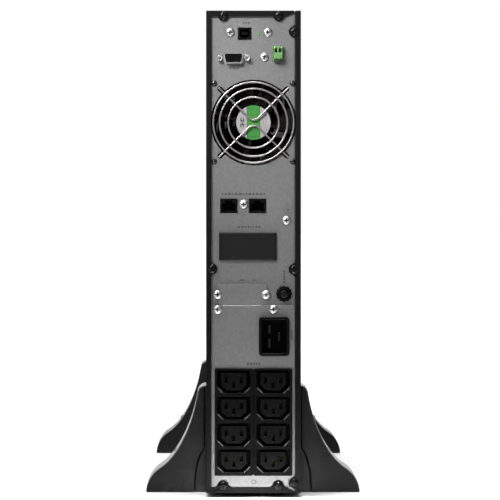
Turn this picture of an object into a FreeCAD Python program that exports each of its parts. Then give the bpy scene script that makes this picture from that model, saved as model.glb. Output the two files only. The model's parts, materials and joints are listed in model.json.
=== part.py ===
import FreeCAD, Part
import math
import os
from FreeCAD import Vector

# Rack or tower uninterruptible power supply, standing as a tower on two pairs of feet.
# Millimetres. +Z is up, the floor is z = 0, the rear (socket) face looks along -Y and the
# front bezel along +Y. The origin is on the floor at the middle of the overall footprint.

# ---------------------------------------------------------------- driving dimensions
CASE_WIDTH = 86.5        # two rack units, lying along X in the tower position
CASE_HEIGHT = 440.0      # the width of a 19-inch chassis, standing along Z
OVERALL_DEPTH = 600.0    # from the tip of the emergency-off plug to the bezel face
LIFT = 4.0               # thickness of the feet's base plates under the case
SHEET = 1.2              # steel sheet of the case
RIM = 2.2                # hemmed edge that frames the rear panel
PROUD = 6.0              # how far the emergency-off plug stands out beyond the rim
BEZEL_DEPTH = 38.0       # plastic front
FIT = 0.3                # air between pieces that move past each other

HALF = CASE_WIDTH / 2
REAR_TIP = -OVERALL_DEPTH / 2
RIM_Y = REAR_TIP + PROUD
PANEL_Y = RIM_Y + RIM
PANEL_BACK = PANEL_Y + SHEET
PLATE_Y = PANEL_Y - SHEET
FRONT = OVERALL_DEPTH / 2
BEZEL_Y = FRONT - BEZEL_DEPTH
TOP = LIFT + CASE_HEIGHT
INNER = HALF - SHEET

# rim of the rear face
RIM_LEFT = 4.6
RIM_RIGHT = 4.7
RIM_END = 5.2
TAB_R = 4.9
SCREW_R = 1.5
SCREW_HOLE_R = 1.8
HEAD_R = 4.0
HEAD_H = 2.3
FAN_HEAD_R = 2.7

# places on the rear face: x from the centre line, z above the case's bottom
TRAY_TABS_TOP = [(-27.5, 435.4), (22.9, 435.4)]
TRAY_TABS_BOTTOM = [(-27.7, 6.5), (22.6, 6.5)]
TRAY_TABS_SIDE = [(-37.7, 204.4)]
COVER_TABS_SIDE = [(37.0, 420.8), (36.9, 204.0), (37.2, 9.3)]
PANEL_SCREWS = [(-21.5, 420.4), (13.0, 420.3), (9.8, 397.7), (-9.1, 263.4), (30.0, 248.7)]
PORT_COVER_SCREWS = [(-32.8, 180.9), (11.3, 180.9)]
PLATE_SCREWS = [(-32.8, 167.4), (18.1, 167.4)]
FAN_X, FAN_Z = 0.0, 338.0
FAN_SIZE = 80.0
FAN_PITCH = 71.5
FAN_DEPTH = 25.4
FAN_HOLE_R = 39.0
USB_X, USB_Z = -8.0, 419.0
SERIAL_X, SERIAL_Z = -18.3, 396.7
SERIAL_PITCH = 25.0
STOP_X, STOP_Z = 22.2, 401.0
STOP_W, STOP_H = 9.9, 12.5
JACKS = [(-22.4, 261.9), (3.7, 261.9)]
JACK_W, JACK_H = 15.7, 12.9
SLOT_X, SLOT_Z = -5.2, 224.9
SLOT_W, SLOT_H = 52.4, 25.8
PORT_X, PORT_Z = -10.7, 181.5
EAR_R = 4.3
BREAKER_X, BREAKER_Z = 27.9, 181.6
PLATE_TOP = 171.2
INLET_X, INLET_Z = 18.8, 142.8
INLET_W, INLET_H = 27.8, 35.5
BLOCK_W, BLOCK_H = 34.8, 97.9
BLOCK_X = 18.0
BLOCK_Z = 64.75
OUTLET_ROWS = [101.8, 77.6, 53.3, 29.6]

# battery bay and its drawer
BATTERY = (65.0, 151.0, 94.0)
BATTERY_LEAD = 6.0       # height of the terminals
BAY_BACK = -52.0
BAY_TOP = 316.0
DRAWER_Z = 9.0
DRAWER_TOP = 312.0
DRAWER_X = 34.0
DRAWER_Y0 = -49.0
DRAWER_Y1 = 256.0

# front
DOOR_X = 37.2
DOOR_Z0 = 8.3
DOOR_Z1 = 317.7
DISPLAY_Z = 384.0
DISPLAY_R = 35.0
BUTTON_R = 4.2
BUTTONS = {"power_button": -15.0, "menu_button": 0.0, "enter_button": 15.0}

# feet
FOOT_REACH = 56.0        # how far a foot stands out from the case
FOOT_TALL = 99.0
FOOT_BASE = 58.0         # length along Y at the floor
FOOT_CREST = 42.0        # length along Y at the top
FOOT_REAR_Y = RIM_Y + 45.0
FOOT_FRONT_Y = RIM_Y + 443.0


# ---------------------------------------------------------------- helpers
def up(z):
    """Height above the floor of a point z above the case's bottom."""
    return LIFT + z


def block(x0, x1, y0, y1, z0, z1):
    return Part.makeBox(x1 - x0, y1 - y0, z1 - z0, Vector(x0, y0, z0))


def slab(x, z, w, h, y0, y1):
    """Rectangle w by h centred on (x, z), from y0 to y1."""
    return block(x - w / 2, x + w / 2, y0, y1, z - h / 2, z + h / 2)


def rod_y(x, z, r, y0, y1):
    return Part.makeCylinder(r, y1 - y0, Vector(x, y0, z), Vector(0, 1, 0))


def rod_x(y, z, r, x0, x1):
    return Part.makeCylinder(r, x1 - x0, Vector(x0, y, z), Vector(1, 0, 0))


def rod_z(x, y, r, z0, z1):
    return Part.makeCylinder(r, z1 - z0, Vector(x, y, z0), Vector(0, 0, 1))


def prism_y(points, y0, y1):
    """Polygon of (x, z) points, from y0 to y1."""
    corners = [Vector(x, y0, z) for x, z in points]
    outline = Part.makePolygon(corners + corners[:1])
    return Part.Face(outline).extrude(Vector(0, y1 - y0, 0))


def rounded(x, z, w, h, r, y0, y1):
    """Slab with its four edges along Y rounded."""
    shape = slab(x, z, w, h, y0, y1)
    edges = [e for e in shape.Edges if abs(e.tangentAt(e.FirstParameter).y) > 0.9]
    return shape.makeFillet(r, edges)


def fuse(shapes):
    result = shapes[0].multiFuse(shapes[1:]) if len(shapes) > 1 else shapes[0]
    return result.removeSplitter()


def cut(shape, tools):
    return shape.cut(Part.makeCompound(tools))


def ring_y(x, z, r_out, r_in, y0, y1):
    return rod_y(x, z, r_out, y0, y1).cut(rod_y(x, z, r_in, y0 - 1, y1 + 1))


def pan_screw(x, z, face_y, head_r=HEAD_R, head_h=HEAD_H, shank_r=SCREW_R, shank=7.0):
    """Cross-recessed pan-head screw driven into a face that looks along -Y."""
    rim_y = face_y - 0.35 * head_h
    apex = Vector(0, face_y - head_h, 0)
    edge = Vector(head_r, rim_y, 0)
    crown = Part.Arc(apex, Vector(0.72 * head_r, face_y - 0.82 * head_h, 0), edge).toShape()
    down = [edge, Vector(head_r, face_y, 0), Vector(shank_r, face_y, 0),
            Vector(shank_r, face_y + shank, 0), Vector(0, face_y + shank, 0), apex]
    sides = [Part.LineSegment(a, b).toShape() for a, b in zip(down, down[1:])]
    screw = Part.Face(Part.Wire([crown] + sides)).revolve(Vector(0, 0, 0), Vector(0, 1, 0), 360)
    depth = 0.6 * head_h
    arm, width = 1.15 * head_r, 0.26 * head_r
    top = face_y - head_h - 0.5
    recess = [slab(0, 0, arm, width, top, top + 0.5 + depth), slab(0, 0, width, arm, top, top + 0.5 + depth)]
    screw = Part.makeSolid(screw.Shells[0]) if screw.ShapeType != "Solid" else screw
    screw = cut(screw, recess)
    screw.translate(Vector(x, 0, up(z)))
    return screw


def tab_y(x, z, toward, y0, y1, grow=0.0):
    """Screw tab on the rim: a disc whose flanks spread out to the rim it grows from."""
    r = TAB_R + grow
    spread = 1.9 * r
    if toward == "up":
        foot = [(x - spread, z + r), (x - r * 0.94, z - r * 0.33), (x + r * 0.94, z - r * 0.33),
                (x + spread, z + r)]
    elif toward == "down":
        foot = [(x - spread, z - r), (x - r * 0.94, z + r * 0.33), (x + r * 0.94, z + r * 0.33),
                (x + spread, z - r)]
    elif toward == "left":
        foot = [(x - r, z - spread), (x + r * 0.33, z - r * 0.94), (x + r * 0.33, z + r * 0.94),
                (x - r, z + spread)]
    else:
        foot = [(x + r, z - spread), (x - r * 0.33, z - r * 0.94), (x - r * 0.33, z + r * 0.94),
                (x + r, z + spread)]
    shape = prism_y([(px, up(pz)) for px, pz in foot], y0, y1)
    return shape.fuse(rod_y(x, up(z), r, y0, y1))


def screw_holes(places, y0, y1, r=SCREW_HOLE_R):
    return [rod_y(x, up(z), r, y0, y1) for x, z in places]


# ---------------------------------------------------------------- case
EAR_X = 50.0             # spacing of the rack-ear holes across the case
EAR_Y = 25.0             # and along it
EAR_CENTRE_Y = 225.0
EAR_HOLE_R = 2.1


def ear_holes(z0, z1):
    """Four holes for a rack ear near the front of a narrow side."""
    xs = (-EAR_X / 2, EAR_X / 2)
    ys = (EAR_CENTRE_Y - EAR_Y / 2, EAR_CENTRE_Y + EAR_Y / 2)
    return [rod_z(x, y, EAR_HOLE_R, z0, z1) for x in xs for y in ys]


SEAM_X = 37.3            # where the tray's narrow walls stop and the cover's lips begin
SEAM_GAP = 0.4


def chassis_tray():
    """Left wall and both narrow walls, with the rim that frames the rear panel."""
    walls = [block(-HALF, -INNER, RIM_Y, BEZEL_Y, LIFT, TOP),
             block(-HALF, SEAM_X, RIM_Y, BEZEL_Y, TOP - SHEET, TOP),
             block(-HALF, SEAM_X, RIM_Y, BEZEL_Y, LIFT, LIFT + SHEET)]
    rim = [block(-HALF, -HALF + RIM_LEFT, RIM_Y, PANEL_Y, LIFT, TOP),
           prism_y([(-HALF, TOP), (SEAM_X, TOP), (SEAM_X, TOP - 1.6), (29.5, TOP - RIM_END),
                    (-HALF, TOP - RIM_END)], RIM_Y, PANEL_Y),
           prism_y([(-HALF, LIFT), (SEAM_X, LIFT), (SEAM_X, LIFT + 1.6), (29.5, LIFT + RIM_END),
                    (-HALF, LIFT + RIM_END)], RIM_Y, PANEL_Y)]
    tabs = [tab_y(x, z, "up", RIM_Y, PANEL_Y) for x, z in TRAY_TABS_TOP]
    tabs += [tab_y(x, z, "down", RIM_Y, PANEL_Y) for x, z in TRAY_TABS_BOTTOM]
    tabs += [tab_y(x, z, "left", RIM_Y, PANEL_Y) for x, z in TRAY_TABS_SIDE]
    shape = fuse(walls + rim + tabs)
    outside = fuse([block(-HALF - 9, HALF + 9, RIM_Y - 1, PANEL_Y + 1, TOP, TOP + 9),
                    block(-HALF - 9, HALF + 9, RIM_Y - 1, PANEL_Y + 1, LIFT - 9, LIFT),
                    block(-HALF - 9, -HALF, RIM_Y - 1, PANEL_Y + 1, LIFT - 9, TOP + 9)])
    shape = shape.cut(outside)
    holes = screw_holes(TRAY_TABS_TOP + TRAY_TABS_BOTTOM + TRAY_TABS_SIDE, RIM_Y - 1, PANEL_Y + 1)
    holes += ear_holes(TOP - SHEET - 1, TOP + 1) + ear_holes(LIFT - 1, LIFT + SHEET + 1)
    return cut(shape, holes)


def side_cover():
    """Right wall with lips that lap under the tray's narrow walls."""
    x0 = SEAM_X + SEAM_GAP
    lap = 1.2
    pieces = [block(INNER, HALF, RIM_Y, BEZEL_Y, LIFT, TOP),
              block(HALF - RIM_RIGHT, HALF, RIM_Y, PANEL_Y, LIFT, TOP)]
    for outer, inward in ((TOP, -1), (LIFT, 1)):
        level = [outer, outer + inward * SHEET, outer + inward * (SHEET + 0.1),
                 outer + inward * (2 * SHEET + 0.1)]
        pieces.append(block(x0, HALF, PANEL_BACK + 1, BEZEL_Y, *sorted((level[0], level[1]))))
        pieces.append(block(x0, x0 + lap, PANEL_BACK + 1, BEZEL_Y, *sorted((level[1], level[3]))))
        pieces.append(block(x0 - 7.5, x0 + lap, PANEL_BACK + 1, BEZEL_Y, *sorted((level[2], level[3]))))
    tabs = [tab_y(x, z, "right", RIM_Y, PANEL_Y) for x, z in COVER_TABS_SIDE]
    shape = fuse(pieces + tabs)
    outside = fuse([block(HALF, HALF + 20, RIM_Y - 1, PANEL_Y + 1, LIFT - 20, TOP + 20),
                    block(0, HALF + 20, RIM_Y - 1, PANEL_Y + 1, LIFT - 20, LIFT)])
    shape = shape.cut(outside)
    tray_end = prism_y([(0, LIFT - 1), (SEAM_X + SEAM_GAP, LIFT - 1), (SEAM_X + SEAM_GAP, LIFT + 2.4),
                        (29.5, LIFT + RIM_END + 0.8), (0, LIFT + RIM_END + 0.8)],
                       RIM_Y - 1, PANEL_Y + 1)
    shape = shape.cut(tray_end)
    return cut(shape, screw_holes(COVER_TABS_SIDE, RIM_Y - 1, PANEL_Y + 1))


def fan_opening(y0, y1):
    """Round opening with four diagonal notches for the ends of the wire guard."""
    z = up(FAN_Z)
    hole = [rod_y(FAN_X, z, FAN_HOLE_R, y0, y1)]
    for angle in (45, 135, 225, 315):
        notch = rounded(45.5 / 2, 0, 45.5, 4.6, 2.2, y0, y1)
        notch.rotate(Vector(0, 0, 0), Vector(0, 1, 0), angle)
        notch.translate(Vector(FAN_X, 0, z))
        hole.append(notch)
    return fuse(hole)


def fan_corners():
    half = FAN_PITCH / 2
    return [(FAN_X + sx * half, FAN_Z + sz * half) for sx in (-1, 1) for sz in (-1, 1)]


def rear_panel():
    """Grey panel that carries the fan, the sockets and the breaker."""
    y0, y1 = PANEL_Y, PANEL_BACK
    face = block(-INNER + 0.15, INNER - 0.15, y0, y1, up(1.4), up(438.6))
    sides = [block(sx * (INNER - 0.75) - 0.6, sx * (INNER - 0.75) + 0.6, y1 - 0.1, y1 + 10, up(6), up(434))
             for sx in (-1, 1)]
    shape = fuse([face] + sides)
    a, b = y0 - 1, y1 + 1
    holes = [fan_opening(a, b),
             slab(USB_X, up(USB_Z), 12.4, 11.4, a, b),
             rounded(SERIAL_X, up(SERIAL_Z), 18.6, 9.8, 2.0, a, b),
             slab(STOP_X, up(STOP_Z), STOP_W + 0.3, STOP_H + 0.3, a, b),
             slab(SLOT_X, up(SLOT_Z), SLOT_W - 4, SLOT_H - 4, a, b),
             slab(PORT_X, up(PORT_Z), 24.0, 13.0, a, b),
             rod_y(BREAKER_X, up(BREAKER_Z), 5.8, a, b),
             slab(0, up(BLOCK_Z), 72.0, 100.0, a, b),
             slab(INLET_X, up(INLET_Z), 27.0, 35.0, a, b)]
    holes += [slab(x, up(z), JACK_W + 0.4, JACK_H + 0.4, a, b) for x, z in JACKS]
    holes += screw_holes(PANEL_SCREWS + PORT_COVER_SCREWS + PLATE_SCREWS, a, b)
    holes += screw_holes(TRAY_TABS_TOP + TRAY_TABS_BOTTOM + TRAY_TABS_SIDE + COVER_TABS_SIDE, a, b)
    jack_posts = [(SERIAL_X - SERIAL_PITCH / 2, SERIAL_Z), (SERIAL_X + SERIAL_PITCH / 2, SERIAL_Z)]
    holes += screw_holes(fan_corners() + jack_posts, a, b, 2.1)
    return cut(shape, holes)


def outlet_plate():
    """Lower plate that holds the outlet banks and the mains inlet."""
    y0, y1 = PLATE_Y, PANEL_Y
    x0, x1 = -HALF + RIM_LEFT + 0.15, HALF - RIM_RIGHT - 0.15
    z0 = RIM_END + 0.2
    shape = block(x0, x1, y0, y1, up(z0), up(PLATE_TOP))
    top = [e for e in shape.Edges if abs(e.tangentAt(e.FirstParameter).y) > 0.9 and e.CenterOfMass.z > up(100)]
    shape = shape.makeFillet(2.5, top)
    a, b = y0 - 1, y1 + 1
    tools = [tab_y(x, z, "down", a, b, 0.5) for x, z in TRAY_TABS_BOTTOM]
    tools += [tab_y(x, z, "right", a, b, 0.5) for x, z in COVER_TABS_SIDE if z < PLATE_TOP]
    tools += screw_holes(PLATE_SCREWS, a, b)
    tools += [slab(sx * BLOCK_X, up(BLOCK_Z), BLOCK_W - 2, BLOCK_H - 2, a, b) for sx in (-1, 1)]
    tools.append(slab(INLET_X, up(INLET_Z), INLET_W - 2, INLET_H - 2, a, b))
    return cut(shape, tools)


def battery_port_cover():
    """Small plate over the socket for an outside battery cabinet, with an ear at each screw."""
    x0, x1 = -32.6, 12.3
    plate = rounded((x0 + x1) / 2, up(PORT_Z), x1 - x0, 18.9, 0.8, PLATE_Y, PANEL_Y)
    ears = screw_holes(PORT_COVER_SCREWS, PLATE_Y, PANEL_Y, EAR_R)
    return cut(fuse([plate] + ears), screw_holes(PORT_COVER_SCREWS, PLATE_Y - 1, PANEL_Y + 1))


def battery_port():
    """Three-pole socket for an outside battery cabinet, behind its cover."""
    body = slab(PORT_X, up(PORT_Z), 23.4, 12.4, PANEL_Y + 0.2, PANEL_Y + 24)
    pockets = [slab(PORT_X + dx, up(PORT_Z), 5.4, 8.0, PANEL_Y - 1, PANEL_Y + 14) for dx in (-7.2, 0, 7.2)]
    return cut(body, pockets)


SLOT_PROUD = 3.0


def slot_cover():
    """Snap-in blank over the expansion-card slot."""
    lid = rounded(SLOT_X, up(SLOT_Z), SLOT_W, SLOT_H, 1.0, PANEL_Y - SLOT_PROUD, PANEL_Y)
    front = [e for e in lid.Edges if e.CenterOfMass.y < PANEL_Y - SLOT_PROUD + 0.01]
    lid = lid.makeChamfer(0.8, front)
    legs = [slab(SLOT_X + dx, up(SLOT_Z), 2.0, 12.0, PANEL_Y - 0.1, PANEL_Y + 9)
            for dx in (-(SLOT_W - 4) / 2 + 1.3, (SLOT_W - 4) / 2 - 1.3)]
    return fuse([lid] + legs)


def cover_screws():
    places = TRAY_TABS_TOP + TRAY_TABS_BOTTOM + TRAY_TABS_SIDE + COVER_TABS_SIDE
    return Part.makeCompound([pan_screw(x, z, RIM_Y, shank=8.0) for x, z in places])


def panel_screws():
    """Bright screws of the panel, its plates, the earth point and the fan."""
    screws = [pan_screw(x, z, PANEL_Y) for x, z in PANEL_SCREWS]
    screws += [pan_screw(x, z, PLATE_Y) for x, z in PORT_COVER_SCREWS + PLATE_SCREWS]
    screws += [pan_screw(x, z, PANEL_Y, FAN_HEAD_R, 1.8, 1.7, 9.0) for x, z in fan_corners()]
    return Part.makeCompound(screws)


# ---------------------------------------------------------------- fan
WIRE_R = 0.8
GUARD_RINGS = [36.7, 30.9, 23.1]
GUARD_REACH = 44.4
GUARD_BEND = 6.5         # bend radius at the point of each V
SPOKE_Y = PANEL_Y - WIRE_R - 0.1
RING_Y = SPOKE_Y - 2 * WIRE_R + 0.25
FAN_Y0 = PANEL_BACK + 0.1
FAN_Y1 = FAN_Y0 + FAN_DEPTH
HUB_R = 16.2
HUB_WALL = 3.0
BORE_R = 38.4
SHAFT_R = 1.5
SHAFT_CLEAR = 0.05


def guard_v(sign):
    """One bent wire: two legs along the diagonals, joined by a round point, ends turned in."""
    d = GUARD_REACH / math.sqrt(2)
    t = GUARD_BEND / math.sqrt(2)
    apex = GUARD_BEND * (math.sqrt(2) - 1)
    left, right = Vector(-t, SPOKE_Y, sign * t), Vector(t, SPOKE_Y, sign * t)
    a, b = Vector(-d, SPOKE_Y, sign * d), Vector(d, SPOKE_Y, sign * d)
    middle = Vector(0, SPOKE_Y, sign * apex)
    path = Part.Wire([Part.LineSegment(a, left).toShape(), Part.Arc(left, middle, right).toShape(),
                      Part.LineSegment(right, b).toShape()])
    section = Part.Wire(Part.makeCircle(WIRE_R, a, left - a))
    leg = path.makePipeShell([section], True, True)
    ends = []
    for p in (a, b):
        ends.append(Part.makeSphere(WIRE_R, p))
        ends.append(Part.makeCylinder(WIRE_R, 2.1, p, Vector(0, 1, 0)))
    return leg.multiFuse(ends)


def fan_guard():
    """Wire guard: three rings welded on two bent wires."""
    wires = [guard_v(1), guard_v(-1)]
    wires += [Part.makeTorus(r, WIRE_R, Vector(0, RING_Y, 0), Vector(0, 1, 0)) for r in GUARD_RINGS]
    guard = wires[0].multiFuse(wires[1:])
    guard.translate(Vector(FAN_X, 0, up(FAN_Z)))
    return guard


def fan_frame():
    """Square fan frame with its fixed motor boss on four struts."""
    z = up(FAN_Z)
    flanges = [rounded(FAN_X, z, FAN_SIZE, FAN_SIZE, 3.0, y, y + 4.0) for y in (FAN_Y0, FAN_Y1 - 4.0)]
    shroud = ring_y(FAN_X, z, FAN_SIZE / 2, BORE_R, FAN_Y0 + 3.5, FAN_Y1 - 3.5)
    body = fuse(flanges + [shroud]).cut(rod_y(FAN_X, z, BORE_R, FAN_Y0 - 1, FAN_Y1 + 1))
    boss = rod_y(FAN_X, z, HUB_R, FAN_Y0 + 0.4, FAN_Y0 + HUB_WALL)
    tube = rod_y(FAN_X, z, 4.5, FAN_Y0 + 1, FAN_Y0 + 18)
    struts = []
    for angle in (20, 110, 200, 290):
        strut = slab((HUB_R + BORE_R) / 2 + 0.5, 3.0, BORE_R - HUB_R + 4, 3.2, FAN_Y0 + 0.4, FAN_Y0 + 2.6)
        strut.rotate(Vector(0, 0, 0), Vector(0, 1, 0), angle)
        strut.translate(Vector(FAN_X, 0, z))
        struts.append(strut)
    body = fuse([body, boss, tube] + struts)
    bearing = rod_y(FAN_X, z, SHAFT_R + SHAFT_CLEAR, FAN_Y0 + 2.0, FAN_Y0 + 20)
    return cut(body, [bearing] + screw_holes(fan_corners(), FAN_Y0 - 1, FAN_Y1 + 1, 2.2))


def blade_section(radius, chord, pitch, middle_y):
    """Thin slanted rectangle at a radius along +X, its chord between Y and Z."""
    half, thick = chord / 2, 0.75
    c, s = math.cos(pitch), math.sin(pitch)
    corners = []
    for u, v in ((-half, -thick), (half, -thick), (half, thick), (-half, thick)):
        corners.append(Vector(radius, middle_y + u * s + v * c, u * c - v * s))
    return Part.makePolygon(corners + corners[:1])


def fan_rotor():
    """Seven-bladed impeller on its shaft."""
    z = up(FAN_Z)
    y0, y1 = FAN_Y0 + HUB_WALL + 0.8, FAN_Y1 - 1.5
    cup = rod_y(0, 0, 16.0, y0, y1).cut(rod_y(0, 0, 14.4, y0 - 1, y1 - 1.6))
    shaft = rod_y(0, 0, SHAFT_R, FAN_Y0 + HUB_WALL, y1 - 1)
    middle = (y0 + y1) / 2
    blades = []
    for i in range(7):
        inner = blade_section(15.0, 13.5, math.radians(52), middle)
        outer = blade_section(36.2, 20.5, math.radians(38), middle)
        blade = Part.makeLoft([inner, outer], True, True)
        blade.rotate(Vector(0, 0, 0), Vector(0, 1, 0), i * 360 / 7)
        blades.append(blade)
    inside = rod_y(0, 0, 15.0, y0 - 5, y1 + 5)
    rotor = fuse([cup, shaft] + [blade.cut(inside) for blade in blades])
    rotor.translate(Vector(FAN_X, 0, z))
    return rotor


def fan_label():
    """Round sticker on the motor boss."""
    return rod_y(FAN_X, up(FAN_Z), HUB_R - 0.5, FAN_Y0 + 0.15, FAN_Y0 + 0.4)


# ---------------------------------------------------------------- signal sockets
def cut_corners(x, z, w, h, chamfer, y0, y1):
    """Rectangle with its two lower corners cut off, as on mains outlets."""
    x0, x1, z0, z1 = x - w / 2, x + w / 2, z - h / 2, z + h / 2
    return prism_y([(x0, z1), (x1, z1), (x1, z0 + chamfer), (x1 - chamfer, z0), (x0 + chamfer, z0),
                    (x0, z0 + chamfer)], y0, y1)


def usb_port():
    """Square-ended data socket with its tongue."""
    x, z = USB_X, up(USB_Z)
    y0 = PANEL_Y - 0.6
    shell = slab(x, z, 12.0, 11.0, y0, y0 + 16)
    pocket = cut_corners(x, z, 8.6, 7.8, 1.8, y0 - 1, y0 + 10)
    tongue = slab(x, z + 0.2, 5.6, 3.0, y0 + 1.2, y0 + 10.5)
    return fuse([shell.cut(pocket), tongue])


def d_outline(w, h, y0, y1):
    """D-shaped serial outline: wider at the top, corners rounded."""
    slope = h * math.tan(math.radians(10))
    x, z = SERIAL_X, up(SERIAL_Z)
    shape = prism_y([(x - w / 2, z + h / 2), (x + w / 2, z + h / 2), (x + w / 2 - slope, z - h / 2),
                     (x - w / 2 + slope, z - h / 2)], y0, y1)
    edges = [e for e in shape.Edges if abs(e.tangentAt(e.FirstParameter).y) > 0.9]
    return shape.makeFillet(1.6, edges)


SERIAL_PROUD = 5.6


def serial_shell():
    """Plated D-shaped shell on its mounting flange."""
    tube = d_outline(17.5, 8.8, PANEL_Y - SERIAL_PROUD, PANEL_BACK + 0.6)
    flange = rounded(SERIAL_X, up(SERIAL_Z), 30.6, 12.4, 1.5, PANEL_BACK + 0.05, PANEL_BACK + 0.8)
    shape = fuse([tube, flange])
    holes = [rod_y(SERIAL_X + dx, up(SERIAL_Z), 1.7, PANEL_BACK - 1, PANEL_BACK + 2)
             for dx in (-SERIAL_PITCH / 2, SERIAL_PITCH / 2)]
    return cut(shape, holes + [d_outline(16.5, 7.8, PANEL_Y - SERIAL_PROUD - 1, PANEL_BACK + 2)])


def serial_insert():
    """Black insert with nine contact holes, five above four."""
    shape = d_outline(16.3, 7.6, PANEL_Y - SERIAL_PROUD + 0.3, PANEL_BACK + 9)
    y0 = PANEL_Y - SERIAL_PROUD - 1
    holes = [rod_y(SERIAL_X + (i - 2) * 2.77, up(SERIAL_Z + 1.42), 0.6, y0, y0 + 7) for i in range(5)]
    holes += [rod_y(SERIAL_X + (i - 1.5) * 2.77, up(SERIAL_Z - 1.42), 0.6, y0, y0 + 7) for i in range(4)]
    return cut(shape, holes)


def jack_screws():
    """Two hexagonal posts that hold the serial socket and take its plug's screws."""
    posts = []
    for dx in (-SERIAL_PITCH / 2, SERIAL_PITCH / 2):
        x, z = SERIAL_X + dx, up(SERIAL_Z)
        ring = [(x + 2.75 * math.cos(math.radians(60 * i)), z + 2.75 * math.sin(math.radians(60 * i)))
                for i in range(6)]
        post = prism_y(ring, PANEL_Y - 4.8, PANEL_Y)
        post = post.fuse(rod_y(x, z, 1.4, PANEL_Y - 0.1, PANEL_BACK + 4))
        posts.append(post.cut(rod_y(x, z, 1.3, PANEL_Y - 6, PANEL_Y - 0.8)))
    return Part.makeCompound(posts)


def epo_socket():
    """Two-pole header for the emergency power-off loop, a shroud open to the rear."""
    x, z = STOP_X, up(STOP_Z)
    body = slab(x, z, STOP_W, STOP_H, PANEL_Y - 4.4, PANEL_Y + 11)
    return body.cut(slab(x, z, STOP_W - 1.8, STOP_H - 1.8, PANEL_Y - 5, PANEL_Y + 8))


def epo_plug():
    """Two-pole plug pushed into the header, a wire entry above each clamp."""
    x, z = STOP_X, up(STOP_Z)
    w, h = STOP_W - 2.1, STOP_H - 2.1
    upper = slab(x, z + h / 4, w, h / 2, REAR_TIP + 1.4, PANEL_Y + 7.5)
    lower = slab(x, z - h / 4, w, h / 2, REAR_TIP, PANEL_Y + 7.5)
    entries = [slab(x + dx, z + 2.3, 2.3, 3.6, REAR_TIP - 1, REAR_TIP + 9) for dx in (-1.95, 1.95)]
    return cut(fuse([upper, lower]), entries)


def network_jack(x, z):
    """Eight-way jack with its latch notch above the plug pocket."""
    y0 = PANEL_Y - 0.6
    body = slab(x, up(z), JACK_W, JACK_H, y0, y0 + 21)
    pocket = slab(x, up(z) - 1.2, 11.8, 7.4, y0 - 1, y0 + 13.5)
    notch = slab(x, up(z) + 3.6, 6.2, 3.0, y0 - 1, y0 + 13.5)
    return cut(body, [pocket, notch])


def jack_contacts():
    """Eight slanting springs in each network jack."""
    wires = []
    for x, z in JACKS:
        for i in range(8):
            px = x + (i - 3.5) * 1.02
            spring = block(px - 0.22, px + 0.22, 0, 9.5, 0, 0.4)
            spring.rotate(Vector(px, 0, 0), Vector(1, 0, 0), 12)
            spring.translate(Vector(0, PANEL_Y + 2.0, up(z) - 4.6))
            wires.append(spring)
    return Part.makeCompound(wires)


# ---------------------------------------------------------------- breaker, inlet and outlets
BUTTON_TIP = REAR_TIP + 0.6
RESET_R = 3.6


def breaker_body():
    """Resettable thermal breaker with a threaded neck."""
    x, z = BREAKER_X, up(BREAKER_Z)
    body = block(x - 8, x + 8, PANEL_BACK + 0.1, PANEL_BACK + 33, z - 13, z + 13)
    neck = rod_y(x, z, 5.5, PANEL_Y - 4.6, PANEL_BACK + 2)
    tabs = [slab(x, z + dz, 6.3, 0.8, PANEL_BACK + 32, PANEL_BACK + 41) for dz in (-7, 7)]
    shape = fuse([body, neck] + tabs)
    return shape.cut(rod_y(x, z, RESET_R + 0.3, PANEL_Y - 6, PANEL_Y + 14))


def breaker_nut():
    """Knurled ring nut on the breaker's neck."""
    x, z = BREAKER_X, up(BREAKER_Z)
    nut = ring_y(x, z, 7.5, 5.6, PANEL_Y - 3.0, PANEL_Y)
    grooves = []
    for i in range(20):
        a = math.radians(18 * i)
        grooves.append(rod_y(x + 7.75 * math.cos(a), z + 7.75 * math.sin(a), 0.55, PANEL_Y - 4, PANEL_Y + 1))
    return cut(nut, grooves)


def breaker_button():
    """Reset button, which pops outward when the breaker trips."""
    x, z = BREAKER_X, up(BREAKER_Z)
    stem = rod_y(x, z, RESET_R, BUTTON_TIP, PANEL_Y + 8)
    tip = [e for e in stem.Edges if abs(e.CenterOfMass.y - BUTTON_TIP) < 0.01 and e.Length > 1]
    return stem.makeFillet(1.4, tip)


INLET_Y = PLATE_Y - 3.2
INLET_FLOOR = INLET_Y + 20.0


def inlet_housing():
    """Sixteen-amp mains inlet, its pocket open to the rear."""
    x, z = INLET_X, up(INLET_Z)
    flange = rounded(x, z, INLET_W, INLET_H, 3.0, INLET_Y, PLATE_Y)
    body = rounded(x, z, INLET_W - 2.6, INLET_H - 2.6, 2.0, PLATE_Y - 0.1, INLET_FLOOR + 6)
    pocket = rounded(x, z, 22.6, 30.6, 1.6, INLET_Y - 1, INLET_FLOOR)
    slots = [slab(bx, bz, 2.2, 8.2, INLET_FLOOR - 1, INLET_FLOOR + 8) for bx, bz in blade_places()]
    return cut(fuse([flange, body]), [pocket] + slots)


def blade_places():
    """Line and neutral on the left, one above the other, and earth on the right."""
    x, z = INLET_X, up(INLET_Z)
    return [(x - 4.3, z + 6.5), (x - 4.3, z - 6.5), (x + 4.5, z)]


def inlet_blades():
    blades = [slab(bx, bz, 2.0, 8.0, INLET_FLOOR - 16.5, INLET_FLOOR + 14) for bx, bz in blade_places()]
    return Part.makeCompound(blades)


OUTLET_Y = PLATE_Y - 1.5
OUTLET_FLOOR = OUTLET_Y + 14.5
OUTLET_BACK = OUTLET_Y + 31.0
CONTACTS = [(-7.0, 1.6), (7.0, 1.6), (0.0, -3.0)]


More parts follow.
